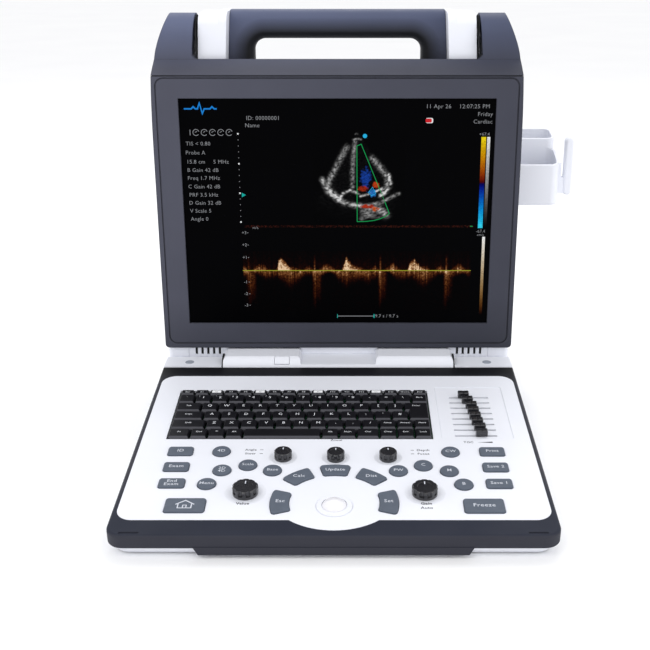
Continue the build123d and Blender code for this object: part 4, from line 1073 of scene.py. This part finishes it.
def picture_mesh(name: str, low: Spot, high: Spot, colours: np.ndarray) -> bpy.types.Mesh:
    """Flat grid on the display that carries a picture in its corner colours.

    Args:
        name: Name of the mesh.
        low: Lower left corner on the display in millimetres.
        high: Upper right corner on the display in millimetres.
        colours: Rows by columns by three colours, bottom row first.

    Returns:
        The mesh in place.
    """
    rows, columns, _ = colours.shape
    across, up = np.meshgrid(np.linspace(low[0], high[0], columns), np.linspace(low[1], high[1], rows))
    flat = np.c_[across.ravel(), up.ravel(), np.zeros(rows * columns)] * MM
    placed = moved(GLASS.place(proud=0.03), flat)
    start = (np.arange(rows - 1)[:, None] * columns + np.arange(columns - 1)[None, :]).ravel()
    faces = np.c_[start, start + 1, start + columns + 1, start + columns]
    mesh = bpy.data.meshes.new(name)
    mesh.from_pydata(placed.tolist(), [], faces.tolist())
    layer = mesh.color_attributes.new("picture", "FLOAT_COLOR", "POINT")
    layer.data.foreach_set("color", np.c_[colours.reshape(-1, 3), np.ones(rows * columns)].ravel())
    mesh.materials.append(finish(Ink.SCREEN_PICTURE))
    return mesh


# ---------------------------------------------------------------- the display's picture
@dataclass
class ScreenPicture:
    """Everything the display shows: echo image, flow spectrum, scales and readings."""

    echo_low: Spot = (-24.0, -10.8)
    echo_high: Spot = (66.0, 84.0)
    spectrum_low: Spot = (-95.5, -101.0)
    spectrum_high: Spot = (133.5, -38.0)
    baseline: float = -58.3
    beat: float = 66.3
    first_beat: float = -143.8
    pitch: float = 0.5
    seed: int = 7
    apex: Spot = (20.0, 82.0)
    dots: Spot = (-96.1, 36.1)
    scale_marks: tuple[tuple[str, float], ...] = (
        ("+3", -18.9), ("+2", -31.5), ("+1", -44.6), ("-1", -70.5), ("-2", -83.0), ("-3", -95.4)
    )
    texts: tuple[tuple[str, float, float, float], ...] = (
        ("ID: 00000001", -71.5, 95.0, 5.6),
        ("Name", -82.0, 88.0, 5.6),
        ("12:07:25 PM", 131.5, 106.2, 5.6),
        ("11 Apr 26", 97.0, 106.2, 5.6),
        ("Friday", 142.0, 98.8, 5.6),
        ("Cardiac", 140.0, 91.6, 5.6),
        ("TIS < 0.80", -135.0, 70.3, 5.4),
        ("Probe A", -138.0, 61.5, 5.4),
        ("15.8 cm", -138.0, 52.5, 5.4),
        ("5 MHz", -113.5, 52.5, 5.4),
        ("B Gain 42 dB", -131.5, 44.3, 5.4),
        ("Freq 1.7 MHz", -131.0, 36.4, 5.4),
        ("C Gain 42 dB", -131.0, 27.9, 5.4),
        ("PRF 3.5 kHz", -131.8, 19.6, 5.4),
        ("D Gain 32 dB", -130.8, 11.5, 5.4),
        ("V Scale 5", -135.5, 3.4, 5.4),
        ("Angle 0", -137.0, -4.8, 5.4),
        ("+67.4", 142.0, 79.6, 4.2),
        ("-67.4", 142.0, -17.4, 4.2),
        ("cm/s", 142.0, -21.0, 3.6),
        ("m/s", -81.9, -13.7, 4.0),
        ("9.7 s / 9.7 s", 49.5, -107.1, 4.8),
    )

    def grid(self, low: Spot, high: Spot) -> tuple[np.ndarray, np.ndarray]:
        """Coordinates of a picture's points.

        Args:
            low: Lower left corner in millimetres.
            high: Upper right corner in millimetres.

        Returns:
            Arrays of the across and up positions.
        """
        columns = int((high[0] - low[0]) / self.pitch) + 1
        rows = int((high[1] - low[1]) / self.pitch) + 1
        return np.meshgrid(np.linspace(low[0], high[0], columns), np.linspace(low[1], high[1], rows))

    @staticmethod
    def near(across: np.ndarray, up: np.ndarray, path: Path) -> np.ndarray:
        """Distance of every point to a line through given points.

        Args:
            across: Across positions.
            up: Up positions.
            path: Points of the line.

        Returns:
            The distances.
        """
        best = np.full(across.shape, 1e9)
        for (ax, ay), (bx, by) in zip(path, path[1:]):
            length = (bx - ax) ** 2 + (by - ay) ** 2
            share = np.clip(((across - ax) * (bx - ax) + (up - ay) * (by - ay)) / length, 0, 1)
            best = np.minimum(best, np.hypot(across - ax - share * (bx - ax), up - ay - share * (by - ay)))
        return best

    @staticmethod
    def blurred(values: np.ndarray, passes: int) -> np.ndarray:
        """Smooths values with their neighbours.

        Args:
            values: The values, in rows and columns.
            passes: How many times they are smoothed.

        Returns:
            The smoothed values.
        """
        for _ in range(passes):
            for axis in (0, 1):
                values = (np.roll(values, 1, axis) + 2 * values + np.roll(values, -1, axis)) / 4
        return values

    @staticmethod
    def level_out(noise: np.ndarray, contrast: float, middle: float) -> np.ndarray:
        """Noise brought to a given mean and spread."""
        return (noise - noise.mean()) / noise.std() * contrast + middle

    def polar(self, across: np.ndarray, up: np.ndarray) -> tuple[np.ndarray, np.ndarray]:
        """Distance and angle of every point from the probe's apex.

        Args:
            across: Across positions.
            up: Up positions.

        Returns:
            Radii in millimetres, and angles in radians from straight down.
        """
        x, y = across - self.apex[0], self.apex[1] - up
        return np.hypot(x, y), np.arctan2(x, y)

    def speckle(self, across: np.ndarray, up: np.ndarray) -> np.ndarray:
        """Grainy texture that runs in arcs round the probe.

        Args:
            across: Across positions.
            up: Up positions.

        Returns:
            Values from about 0 to 1.5.
        """
        rng = np.random.default_rng(self.seed)
        table = self.level_out(self.blurred(rng.random((220, 160)), 1), 0.42, 0.7)
        radius, angle = self.polar(across, up)
        row = np.clip((radius * 2.1).astype(int), 0, 219)
        column = np.clip(((angle + 1.1) * 70).astype(int), 0, 159)
        return np.clip(table[row, column], 0.05, 1.6)

    def echo(self) -> bpy.types.Object:
        """Grey echo picture of a four-chamber outline with a coloured flow.

        Returns:
            The piece.
        """
        across, up = self.grid(self.echo_low, self.echo_high)
        walls = (
            (((9.0, 67.0), (3.0, 56.0), (-3.0, 44.0), (-9.0, 33.0), (-8.0, 24.0), (1.0, 16.5)), 2.9, 0.46),
            (((-15.0, 35.0), (-10.0, 24.0), (0.0, 15.0), (11.0, 10.0), (22.0, 8.5)), 2.6, 0.62),
            (((17.0, 72.0), (15.5, 58.0), (14.5, 44.0), (14.5, 28.0)), 2.3, 0.42),
            (((1.0, 14.0), (5.0, 21.0), (12.0, 24.5), (20.0, 21.5), (22.0, 18.5)), 1.3, 0.75),
            (((22.0, 18.5), (30.0, 20.0), (38.0, 23.5), (44.0, 26.0)), 1.2, 0.8),
            (((34.0, 56.0), (42.0, 47.0), (49.0, 37.0), (49.0, 28.0), (43.0, 20.0)), 3.1, 0.5),
            (((50.0, 40.0), (52.0, 31.0), (47.0, 22.0), (42.0, 19.0)), 1.8, 0.55),
            (((22.0, 8.5), (32.0, 9.5), (44.0, 12.5), (54.0, 18.0), (60.0, 21.0)), 1.7, 0.5),
            (((26.0, 2.0), (33.0, 5.5), (42.0, 5.0), (47.0, 0.0)), 4.3, 0.5),
            (((24.0, -4.0), (32.0, -1.0), (40.0, -2.0)), 2.6, 0.35),
            (((15.0, 74.5), (19.0, 75.2), (23.0, 74.5)), 0.8, 0.6),
            (((17.0, 79.5), (18.6, 80.4), (20.0, 79.5)), 0.5, 0.4),
        )
        grey = np.zeros(across.shape)
        for path, width, level in walls:
            grey += 1.05 * level * np.exp(-((self.near(across, up, path) / (0.82 * width)) ** 2))
        radius, angle = self.polar(across, up)
        inside = np.clip((92 - radius) / 20, 0, 1) * np.clip((0.62 - np.abs(angle)) / 0.12, 0, 1)
        grain = self.speckle(across, up)
        grey = self.blurred(grey * grain, 1) + 0.012 * inside * grain
        grey = 0.85 * np.clip(grey, 0, 0.92) ** 1.35
        colours = np.repeat(grey[:, :, None], 3, axis=2)
        flows = (
            (27.5, 36.0, 4.6, 9.0, shade(20, 60, 150)),
            (34.5, 21.5, 3.0, 3.6, shade(40, 120, 200)),
            (37.5, 29.5, 3.2, 3.0, shade(180, 60, 20)),
            (24.5, 26.0, 4.5, 2.4, shade(150, 40, 15)),
            (29.5, 8.0, 6.0, 2.0, shade(165, 45, 20)),
            (37.5, 5.5, 3.5, 2.0, shade(190, 80, 30)),
        )
        rng = np.random.default_rng(self.seed + 1)
        holes = self.level_out(self.blurred(rng.random(across.shape), 3), 1.0, 0.0)
        for x, y, wide, tall, tint in flows:
            reach = ((across - x) / wide) ** 2 + ((up - y) / tall) ** 2 + 0.35 * holes
            cover = np.clip(1.5 - reach, 0, 1)[:, :, None]
            colours = colours * (1 - cover) + np.array(tint) * cover * (0.7 + 0.4 * grain[:, :, None])
        mesh = picture_mesh("echo", self.echo_low, self.echo_high, np.clip(colours, 0, 1))
        return piece("screen_echo", mesh, HEAD)

    def spectrum(self) -> bpy.types.Object:
        """Amber flow spectrum above and below its baseline.

        Returns:
            The piece.
        """
        across, up = self.grid(self.spectrum_low, self.spectrum_high)
        height = up - self.baseline
        rng = np.random.default_rng(self.seed + 2)
        streak = self.blurred(rng.random((1, across.shape[1])).repeat(3, axis=0), 1)[0]
        streak = self.level_out(streak, 0.22, 1.0)
        grain = self.level_out(self.blurred(rng.random(across.shape), 1), 0.3, 1.0)
        level = np.zeros(across.shape)
        above = np.clip(height, 0, None)
        below = np.clip(-height, 0, None)
        for number in range(6):
            start = self.first_beat + number * self.beat
            local = across - start
            small = 7.0 * np.exp(-((local / 7.0) ** 2))
            rise = np.exp(-((local - 19.5) / np.where(local < 19.5, 3.2, 8.5)) ** 2)
            tail = 4.5 * np.exp(-((local - 31.0) / 8.0) ** 2)
            main = 12.0 * rise
            pre = 5.0 * np.exp(-((local - 48.0) / 4.5) ** 2)
            for top, peak in ((small, 0.4), (main, 1.0), (tail, 0.4), (pre, 0.5)):
                reach = np.clip(top * (0.8 + 0.3 * streak) - above, 0, None) / 6.0
                level += peak * np.clip(reach, 0, 1) * (height > 0)
            for centre, depth, wide in ((-12.5, 42.0, 1.5), (-9.0, 34.0, 2.4), (53.0, 17.0, 1.2)):
                fade = np.exp(-((local - centre) / wide) ** 2) * np.clip(1 - below / depth, 0, 1)
                level += 0.24 * fade * (height < 0)
            shaft = np.exp(-((local + 12.5) / 0.7) ** 2) * np.clip(1 - above / 17.0, 0, 1)
            level += 0.35 * shaft * (height > 0)
        swell = 5.5 + 3.0 * np.sin(across / 10.5) + 2.0 * np.sin(across / 4.3)
        level += 0.3 * np.exp(-((below / swell) ** 2)) * (height < 0) * (0.6 + 0.5 * streak)
        level += 0.05 * np.exp(-(above / 9.0)) * (height > 0)
        level += 0.012 * (rng.random(across.shape) > 0.75)
        level = np.clip(0.92 * level * grain * streak[None, :], 0, 1.0)
        colours = np.stack([level ** 1.5 * 0.9, level ** 2.1 * 0.64, level ** 2.8 * 0.4], axis=2)
        mesh = picture_mesh("spectrum", self.spectrum_low, self.spectrum_high, np.clip(colours, 0, 1))
        return piece("screen_spectrum", mesh, HEAD)

    def bars(self) -> None:
        """Colour, grey and amber scales at the right-hand side."""
        rows = 64
        ramp = np.linspace(0, 1, rows)
        warm = np.clip(ramp * 2 - 1, 0, 1)[:, None]
        cold = np.clip(1 - ramp * 2, 0, 1)[:, None]
        fire = np.concatenate([warm ** 0.7 * 0.9, warm ** 1.8 * 0.72, warm ** 6 * 0.01], axis=1)
        ice = np.concatenate([cold ** 6 * 0.05, cold ** 1.9 * 0.75, cold ** 0.6 * 0.95], axis=1)
        flow = np.where(ramp[:, None] > 0.5, fire, ice)
        grey = np.repeat((ramp ** 1.8)[:, None], 3, axis=1) * 0.9
        amber = np.stack([ramp ** 1.2, ramp ** 1.7, ramp ** 2.6], axis=1) * 0.97
        scales = (
            ("screen_flow_scale", (139.2, -14.0), (143.8, 77.0), flow),
            ("screen_grey_scale", (144.8, -14.0), (147.8, 77.0), grey),
            ("screen_amber_scale", (144.0, -105.5), (146.8, -23.0), amber),
        )
        for name, low, high, tones in scales:
            colours = np.repeat(tones[:, None, :], 4, axis=1)
            piece(name, picture_mesh(name, low, high, colours), HEAD)

    def depth_dots(self) -> None:
        """Depth scale: a dot each step and a larger dot each fifth."""
        small = RepeatField(Repeat.DOT, 1, 16, 0.0, 5.853, 0.42, 0.04, Ink.SCREEN_GREY)
        small.build("screen_depth_dots", HEAD, GLASS.place(*self.dots))
        large = RepeatField(Repeat.DOT, 1, 4, 0.0, 29.265, 0.85, 0.05, Ink.SCREEN_WHITE)
        large.build("screen_depth_marks", HEAD, GLASS.place(*self.dots, 0.06))

    def readings(self) -> None:
        """Readings, symbols and outlines drawn on the display."""
        marks = Marks("screen_readings", HEAD, [ink for ink in Ink if ink.name.startswith("SCREEN")])
        flat, proud = GLASS.place(), GLASS.place(proud=0.08)
        grey, green, teal = Ink.SCREEN_GREY, Ink.SCREEN_GREEN, Ink.SCREEN_TEAL
        pulse = [
            (-147, 104), (-140, 104), (-138, 106), (-136, 104), (-134, 104), (-132, 109.5),
            (-129.5, 99.5), (-127.5, 104), (-122, 104), (-120, 106), (-118, 104), (-115.5, 104),
        ]
        marks.line(pulse, 1.4, flat, Ink.SCREEN_BLUE)
        for words, across, up, size in self.texts:
            marks.words(words, size, GLASS.place(across, up), grey, -0.007)
        for number, up in self.scale_marks:
            marks.words(number, 4.4, GLASS.place(-93.4, up), grey)
            marks.line([(-90.4, up), (-89.2, up)], 0.5, flat, grey)
        sweep = np.linspace(0.3, 5.6, 14)
        for across in (-136.5, -128.5, -120.5, -112.5, -104.5):
            ring = [(3.0 * math.cos(angle) + across, 3.0 * math.sin(angle) + 81.3) for angle in sweep]
            marks.line(ring, 0.55, flat, grey)
            marks.line([(across - 1.0, 81.3), (across + 1.0, 82.4)], 0.5, flat, grey)
        marks.line([(-142.2, 84.0), (-142.2, 78.6)], 0.6, flat, grey)
        marks.patch(round_box(7.0, 5.0, 1.6), GLASS.place(88.6, 92.8), Ink.SCREEN_WHITE)
        marks.patch(round_box(6.0, 3.8, 1.2), GLASS.place(87.8, 92.8, 0.08), Ink.SCREEN_RED)
        marks.patch([(-94.4, 21.9), (-94.4, 17.3), (-90.3, 19.6)], flat, teal)
        marks.patch(round_box(4.2, 4.2, 2.05), GLASS.place(26.6, 77.9), Ink.SCREEN_CYAN)
        corner = [(46.4, 13.0), (51.0, 0.9), (46.8, -2.3), (41.9, -4.5)]
        far_arc = [*corner, (36.0, -6.2), (28.0, -7.2), (19.2, -7.4)]
        strokes = (
            ([(19.2, -7.4), (18.8, 68.2), (23.0, 70.0), (42.0, 23.6)], 0.75, flat, green),
            ([(42.0, 23.6), (46.4, 13.0)], 0.45, flat, green),
            (far_arc, 0.8, flat, green),
            ([(131.5, -12.2), (134.0, -12.2)], 0.9, flat, green),
            ([(-96.0, self.baseline), (133.8, self.baseline)], 0.75, proud, Ink.SCREEN_LIME),
            ([(-0.8, -105.0), (-0.8, -109.2)], 0.6, flat, teal),
            ([(-0.8, -107.1), (36.6, -107.1)], 0.6, flat, grey),
            ([(36.6, -105.0), (36.6, -109.2)], 1.0, flat, teal),
        )
        for path, width, place, ink in strokes:
            marks.line(path, width, place, ink)
        sample = [(30.0, 22.0), (34.2, 27.5), (37.5, 21.0), (33.0, 19.0)]
        marks.line(sample, 0.4, proud, Ink.SCREEN_CYAN, True)
        marks.build()

    def flecks(self) -> None:
        """Faint red noise line between the two pictures."""
        rng = np.random.default_rng(self.seed + 3)
        tones = rng.random((5, 456, 1)) ** 6 * np.array([[[0.11, 0.02, 0.01]]])
        piece("screen_flecks", picture_mesh("flecks", (-92.5, -13.4), (135.0, -11.2), tones), HEAD)

    def build(self) -> None:
        """Makes every part of the picture."""
        self.echo()
        self.spectrum()
        self.bars()
        self.flecks()
        self.depth_dots()
        self.readings()


# ---------------------------------------------------------------- keyboard and controls
@dataclass
class Keyboard:
    """Legends of the letter keys, laid out as the keys are."""

    left: float = -150.5
    rear: float = 50.0
    width: float = 236.4
    rows: tuple[float, ...] = (9.4, 15.5, 15.5, 15.5, 15.5, 15.5)
    top: float = 2.04
    boxed: tuple[int, ...] = (2, 5, 9, 13)

    def layout(self) -> list[list[tuple[str, float]]]:
        """Legend and width of each key, row by row.

        Returns:
            One list of (legend, width in key units) per row.
        """
        functions = "Esc F1 F2 F3 F4 F5 F6 F7 F8 F9 F10 F11 F12 Ins Del Home End".split()
        digits = "` 1 2 3 4 5 6 7 8 9 0 - = \\ Back".split()
        upper = [("Tab", 1.5), *((key, 1.0) for key in "QWERTYUIOP[]"), ("Enter", 1.5)]
        middle = [("Caps", 1.75), *((key, 1.0) for key in "ASDFGHJKL;'#"), ("", 1.25)]
        lower = [("Shift", 2.0), *((key, 1.0) for key in (*"ZXCVBNM,./", "Note", "Arrow", "Mark"))]
        bottom = [("Fn", 1.25), ("Ctrl", 1.0), ("*", 1.0), ("Alt", 1.0), ("", 4.45), ("Alt", 1.0)]
        bottom += [("Num", 1.0), ("Ctrl", 1.3), ("Clear", 1.0), ("Exit", 1.0), ("Lock", 1.0)]
        plain = [[(key, 1.0) for key in keys] for keys in (functions, digits)]
        return [*plain, upper, middle, lower, bottom]

    def build(self) -> None:
        """Makes the legends as one piece that moves with the keys."""
        marks = Marks("key_legends", "letter_keys", [Ink.KEY_PRINT, Ink.KEY_BOX, Ink.DARK_PRINT])
        down = self.rear
        for number, (row, depth) in enumerate(zip(self.layout(), self.rows)):
            unit = self.width / sum(width for _, width in row)
            across = self.left
            for index, (legend, width) in enumerate(row):
                middle = across + unit * width / 2
                across += unit * width
                small = number == 0 or len(legend) > 1
                size = 3.2 if small else 5.2
                lift = 0.8 if number == 0 else -1.2
                ink = Ink.KEY_PRINT
                if number == 0 and index in self.boxed:
                    spot = DECK.place(middle, down + depth / 2, self.top)
                    marks.patch(round_box(8.6, 4.6, 0.6, 2), spot, Ink.KEY_BOX)
                    ink = Ink.DARK_PRINT
                    size = 2.4
                if legend:
                    spot = DECK.place(middle, down + depth / 2 + lift, self.top + 0.03)
                    marks.words(legend, size, spot, ink)
                if number == 1 and 0 < index < 11:
                    shifted = "!\"$%^&*()+"[index - 1]
                    spot = DECK.place(middle - unit * 0.24, down + depth / 2 - 3.0, self.top + 0.03)
                    marks.words(shifted, 2.9, spot, ink)
            down += depth
        marks.build()


@dataclass
class DeckControls:
    """Legends on the buttons, pointers on the knobs and print on the panel."""

    legends: tuple[tuple[str, str, float], ...] = (
        ("button_patient", "ID", 5.8),
        ("button_exam", "Exam", 5.6),
        ("button_end_exam", "End\nExam", 5.4),
        ("button_dual", "4D", 5.4),
        ("button_quad", "2D\n4D", 4.9),
        ("button_scale", "Scale", 4.7),
        ("button_baseline", "Base", 4.9),
        ("button_menu", "Menu", 5.2),
        ("button_calculate", "Calc", 5.4),
        ("button_update", "Update", 5.4),
        ("button_measure", "Dist", 5.4),
        ("button_back", "Esc", 5.6),
        ("button_set", "Set", 5.6),
        ("button_pulse_wave", "PW", 5.2),
        ("button_cw", "CW", 5.2),
        ("button_colour", "C", 5.4),
        ("button_m_mode", "M", 5.4),
        ("button_b_mode", "B", 5.4),
        ("button_print", "Print", 5.4),
        ("button_store_clip", "Save 2", 5.4),
        ("button_store_image", "Save 1", 5.4),
        ("button_freeze", "Freeze", 6.3),
    )
    knobs: tuple[str, ...] = ("knob_steer", "knob_zoom", "knob_depth", "knob_value", "knob_gain")
    print_up: float = 0.03

    def button_legends(self) -> None:
        """One small printed piece on each button."""
        for node, words, size in self.legends:
            across, down, up = DECK.spread(node)
            marks = Marks(f"legend_{node[7:]}", node, [Ink.WHITE_PRINT])
            marks.words(words, size, DECK.place(across, down, up + self.print_up), Ink.WHITE_PRINT, 0.004)
            marks.build()

    def home_symbol(self) -> None:
        """Plain house outline on the home button."""
        across, down, up = DECK.spread("button_home")
        place = DECK.place(across, down, up + self.print_up)
        marks = Marks("legend_home", "button_home", [Ink.WHITE_PRINT])
        roof = [(-7.5, 0.2), (0.0, 5.6), (7.5, 0.2)]
        walls = [(-5.4, 1.6), (-5.4, -4.6), (5.4, -4.6), (5.4, 1.6)]
        marks.line(roof, 1.1, place, Ink.WHITE_PRINT)
        marks.line(walls, 0.9, place, Ink.WHITE_PRINT)
        marks.line([(-1.4, -4.4), (-1.4, -0.8), (1.4, -0.8), (1.4, -4.4)], 0.8, place, Ink.WHITE_PRINT)
        marks.build()

    def knob_pointers(self) -> None:
        """Pointer line on each knob's top."""
        for node in self.knobs:
            across, down, up = DECK.spread(node)
            low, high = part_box(node)
            radius = (high[0] - low[0]) / 2 / MM
            marks = Marks(f"pointer_{node[5:]}", node, [Ink.WHITE_PRINT])
            place = DECK.place(across, down, up + self.print_up)
            marks.line([(0.0, radius * 0.25), (0.0, radius * 0.62)], 0.9, place, Ink.WHITE_PRINT)
            marks.build()

    def panel_print(self) -> None:
        """Words and symbols printed on the white panel."""
        marks = Marks("panel_legends", "deck", [Ink.DARK_PRINT])
        items = (
            ("Angle", -74.0, 154.9, 4.2),
            ("Steer", -74.0, 160.9, 4.2),
            ("Zoom", 0.2, 139.2, 4.0),
            ("Depth", 76.0, 155.6, 4.2),
            ("Focus", 76.0, 161.4, 4.2),
            ("Value", -73.6, 234.4, 4.6),
            ("Gain", 73.8, 234.4, 4.6),
            ("Auto", 73.8, 240.2, 4.6),
            ("TGC", 117.0, 142.6, 4.2),
        )
        for words, across, down, size in items:
            marks.words(words, size, DECK.place(across, down, self.print_up), Ink.DARK_PRINT, 0.012)
        wedge = [(0.0, -0.1), (13.6, -1.1), (13.6, 1.0)]
        marks.patch(wedge, DECK.place(124.6, 142.6, self.print_up), Ink.DARK_PRINT)
        for across, down in ((-64.5, 154.9), (-64.5, 160.9), (66.6, 155.6), (66.6, 161.4)):
            spot = DECK.place(across, down, self.print_up)
            marks.line([(-1.4, 0.0), (1.4, 0.0)], 0.7, spot, Ink.DARK_PRINT)
        marks.build()

    def fold_caps(self) -> None:
        """Two grey caps over the fold pins' ends on the white ledges."""
        for side, label in ((-1, "left"), (1, "right")):
            mesh = turned_disc(4.5, 0.35, 0.2)
            mesh.transform(Matrix.Translation(Vector((side * 151.5, -80.8, 44.5)) * MM))
            mesh.materials.append(finish(Ink.CAP_GREY))
            piece(f"fold_cap_{label}", mesh, "deck")

    def build(self) -> None:
        """Makes every mark of the deck."""
        self.button_legends()
        self.home_symbol()
        self.knob_pointers()
        self.panel_print()
        self.fold_caps()


# ---------------------------------------------------------------- body fittings
@dataclass
class BodyFittings:
    """Contacts in the sockets, black painted shade in the vents and the battery's catch."""

    probe_z: Spot = (58.0, 132.0)
    probe_y: float = 22.0
    probe_floor_x: float = 162.5

    def facing(self, x: float, y: float, z: float, turn: float) -> Matrix:
        """Matrix of a spot on an upright face turned about Z; 0 faces the rear.

        Args:
            x: Millimetres to the right.
            y: Millimetres to the rear.
            z: Millimetres up.
            turn: Turn of the face about Z in degrees.

        Returns:
            The placement, with Z out of the face and Y up.
        """
        spot = Matrix.Translation(Vector((x, y, z)) * MM)
        upright = Matrix.Rotation(math.radians(90), 4, "X")
        return spot @ Matrix.Rotation(math.radians(180 + turn), 4, "Z") @ upright

    def probe_contacts(self) -> None:
        """Gold pin fields in the two probe sockets."""
        for label, z in zip(("low", "high"), self.probe_z):
            pins = RepeatField(Repeat.PIN, 5, 20, 2.3, 2.3, 0.45, 3.0, Ink.GOLD)
            place = self.facing(self.probe_floor_x + 1.5, self.probe_y, z, -90)
            pins.build(f"probe_contacts_{label}", BODY, place)

    def port_contacts(self) -> None:
        """Contacts in the rear sockets."""
        rows = (
            ("video", 60.0, 34.0, 13, 2, 2.2, 3.0, 0.5),
            ("network", 22.0, 37.0, 8, 1, 1.2, 0.0, 0.3),
            ("usb_left", -4.0, 36.0, 4, 2, 2.2, 5.0, 0.5),
            ("usb_right", -28.0, 36.0, 4, 2, 2.2, 5.0, 0.5),
            ("inlet", 110.0, 40.0, 3, 1, 7.0, 0.0, 1.6),
        )
        for label, x, z, columns, lines, pitch_x, pitch_y, size in rows:
            pins = RepeatField(Repeat.PIN, columns, lines, pitch_x, pitch_y, size, 7.0, Ink.GOLD)
            pins.build(f"contacts_{label}", BODY, self.facing(x, 52.5, z, 0))

    def battery_catch(self) -> None:
        """Ribs of the battery's thumb catch, on its end in the left side."""
        ribs = RepeatField(Repeat.RIB, 6, 1, 2.4, 0.0, 1.2, 0.9, Ink.CAP_GREY, 9.6)
        place = self.facing(-168.2, 9.0, 105.0, 90)
        ribs.build("battery_catch", BODY, place)

    def vent_foam(self) -> None:
        """Black strips in the vent slots of the front box: painted shade for the dark inside the vents."""
        for side, label in ((-1, "left"), (1, "right")):
            strips = RepeatField(Repeat.RIB, 5, 1, 6.0, 0.0, 2.2, 6.5, Ink.VENT_BLACK, 3.2)
            place = Matrix.Translation(Vector((side * 135.0, -58.5, 48.9)) * MM)
            strips.build(f"vent_foam_{label}", BODY, place)

    def washers(self) -> None:
        """Black washers on the fold pins, and friction washers on the tilt axles whose black skirts reach
        down into the gap between shoulder and ear as painted shade.
        """
        turn = Matrix.Rotation(math.radians(90), 4, "Y")
        kinds = {
            "hinge_washer": ((117.25, -78.5, 40.0), (4.4, 12.3, 0.9, 12.3)),
            # Tilt washers: washers on the axles, with a black skirt that fills the gap below as painted
            # shade.
            "tilt_washer_and_gap_shade": ((135.2, -28.0, 366.0), (5.3, 18.5, 0.5, 23.8)),
        }
        for kind, (spot, sizes) in kinds.items():
            for side, label in ((-1, "left"), (1, "right")):
                mesh = turned_ring(*sizes)
                centre = Vector((side * spot[0], spot[1], spot[2])) * MM
                mesh.transform(Matrix.Translation(centre) @ turn)
                mesh.materials.append(finish(Ink.VENT_BLACK))
                piece(f"{kind}_{label}", mesh, BODY)

    def build(self) -> None:
        """Makes every fitting."""
        self.probe_contacts()
        self.port_contacts()
        self.battery_catch()
        self.vent_foam()
        self.washers()


# ---------------------------------------------------------------- studio
@dataclass
class Studio:
    """Pale floor, even white surroundings, three soft lights and the camera."""

    camera_spot: tuple[float, float, float] = (0.01437, -1.05348, 0.44794)
    camera_pitch: float = 71.19
    lens: float = 57.03
    shift: Spot = (-0.042, -0.0457)

    def surroundings(self) -> None:
        """White world light."""
        world = bpy.data.worlds.new("studio_white")
        world.use_nodes = True
        background = world.node_tree.nodes["Background"]
        background.inputs["Color"].default_value = (0.99, 0.993, 1.0, 1.0)
        background.inputs["Strength"].default_value = 1.03
        bpy.context.scene.world = world
        bpy.context.scene.view_settings.view_transform = "Standard"
        bpy.context.scene.view_settings.look = "None"

    def floor(self) -> None:
        """Large pale floor under the object."""
        work = bmesh.new()
        bmesh.ops.create_grid(work, x_segments=4, y_segments=4, size=30.0)
        mesh = bpy.data.meshes.new("floor")
        work.to_mesh(mesh)
        work.free()
        mesh.transform(Matrix.Translation((0.0, 0.0, -0.0003)))
        book = NodeMaterial("floor_paper")
        tone = book.spread(book.noise(3.0, 2.0), 0.0, 1.0)
        paper = book.mix(tone, (0.93, 0.93, 0.94), (0.95, 0.95, 0.955))
        book.set(Base_Color=paper, Roughness=0.9, Specular_IOR_Level=0.1)
        mesh.materials.append(book.material)
        ground = bpy.data.objects.new("floor", mesh)
        bpy.context.scene.collection.objects.link(ground)

    def light(self, name: str, spot: tuple[float, float, float], size: float, power: float) -> None:
        """One square soft light aimed at the middle of the object.

        Args:
            name: Name of the light.
            spot: Where it stands, in metres.
            size: Side of the square in metres.
            power: Power in watts.
        """
        data = bpy.data.lights.new(name, "AREA")
        data.shape = "SQUARE"
        data.size = size
        data.energy = power
        lamp = bpy.data.objects.new(name, data)
        lamp.location = spot
        aim = Vector((0.0, -0.1, 0.15)) - Vector(spot)
        lamp.rotation_euler = aim.to_track_quat("-Z", "Y").to_euler()
        bpy.context.scene.collection.objects.link(lamp)

    def camera(self) -> None:
        """Camera in front of and above the deck."""
        data = bpy.data.cameras.new("camera")
        data.sensor_width = 36.0
        data.lens = self.lens
        data.shift_x, data.shift_y = self.shift
        data.clip_end = 200.0
        eye = bpy.data.objects.new("camera", data)
        eye.location = self.camera_spot
        eye.rotation_euler = (math.radians(self.camera_pitch), 0.0, 0.0)
        bpy.context.scene.collection.objects.link(eye)
        bpy.context.scene.camera = eye

    def build(self) -> None:
        """Sets up the whole studio."""
        self.surroundings()
        self.floor()
        self.light("key_light", (-0.9, -1.3, 1.9), 1.2, 9.0)
        self.light("fill_light", (1.3, -1.1, 1.1), 1.4, 4.0)
        self.light("top_light", (0.1, 0.9, 1.7), 1.2, 9.0)
        self.camera()


def dress_frame() -> None:
    """Gives every CAD node the finish of its slot."""
    for name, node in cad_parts.items():
        for index, material in enumerate(node.data.materials):
            node.data.materials[index] = finish(Slot[material.name.split(".")[0].upper()])
        log.info("%s wears %s", name, ", ".join(m.name for m in node.data.materials))


def main() -> None:
    """Builds the scene in order."""
    logging.basicConfig(level=logging.INFO, format="%(name)s: %(message)s")
    Studio().build()
    dress_frame()
    ScreenPicture().build()
    Keyboard().build()
    DeckControls().build()
    BodyFittings().build()
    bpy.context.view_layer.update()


if __name__ == "__main__":
    main()
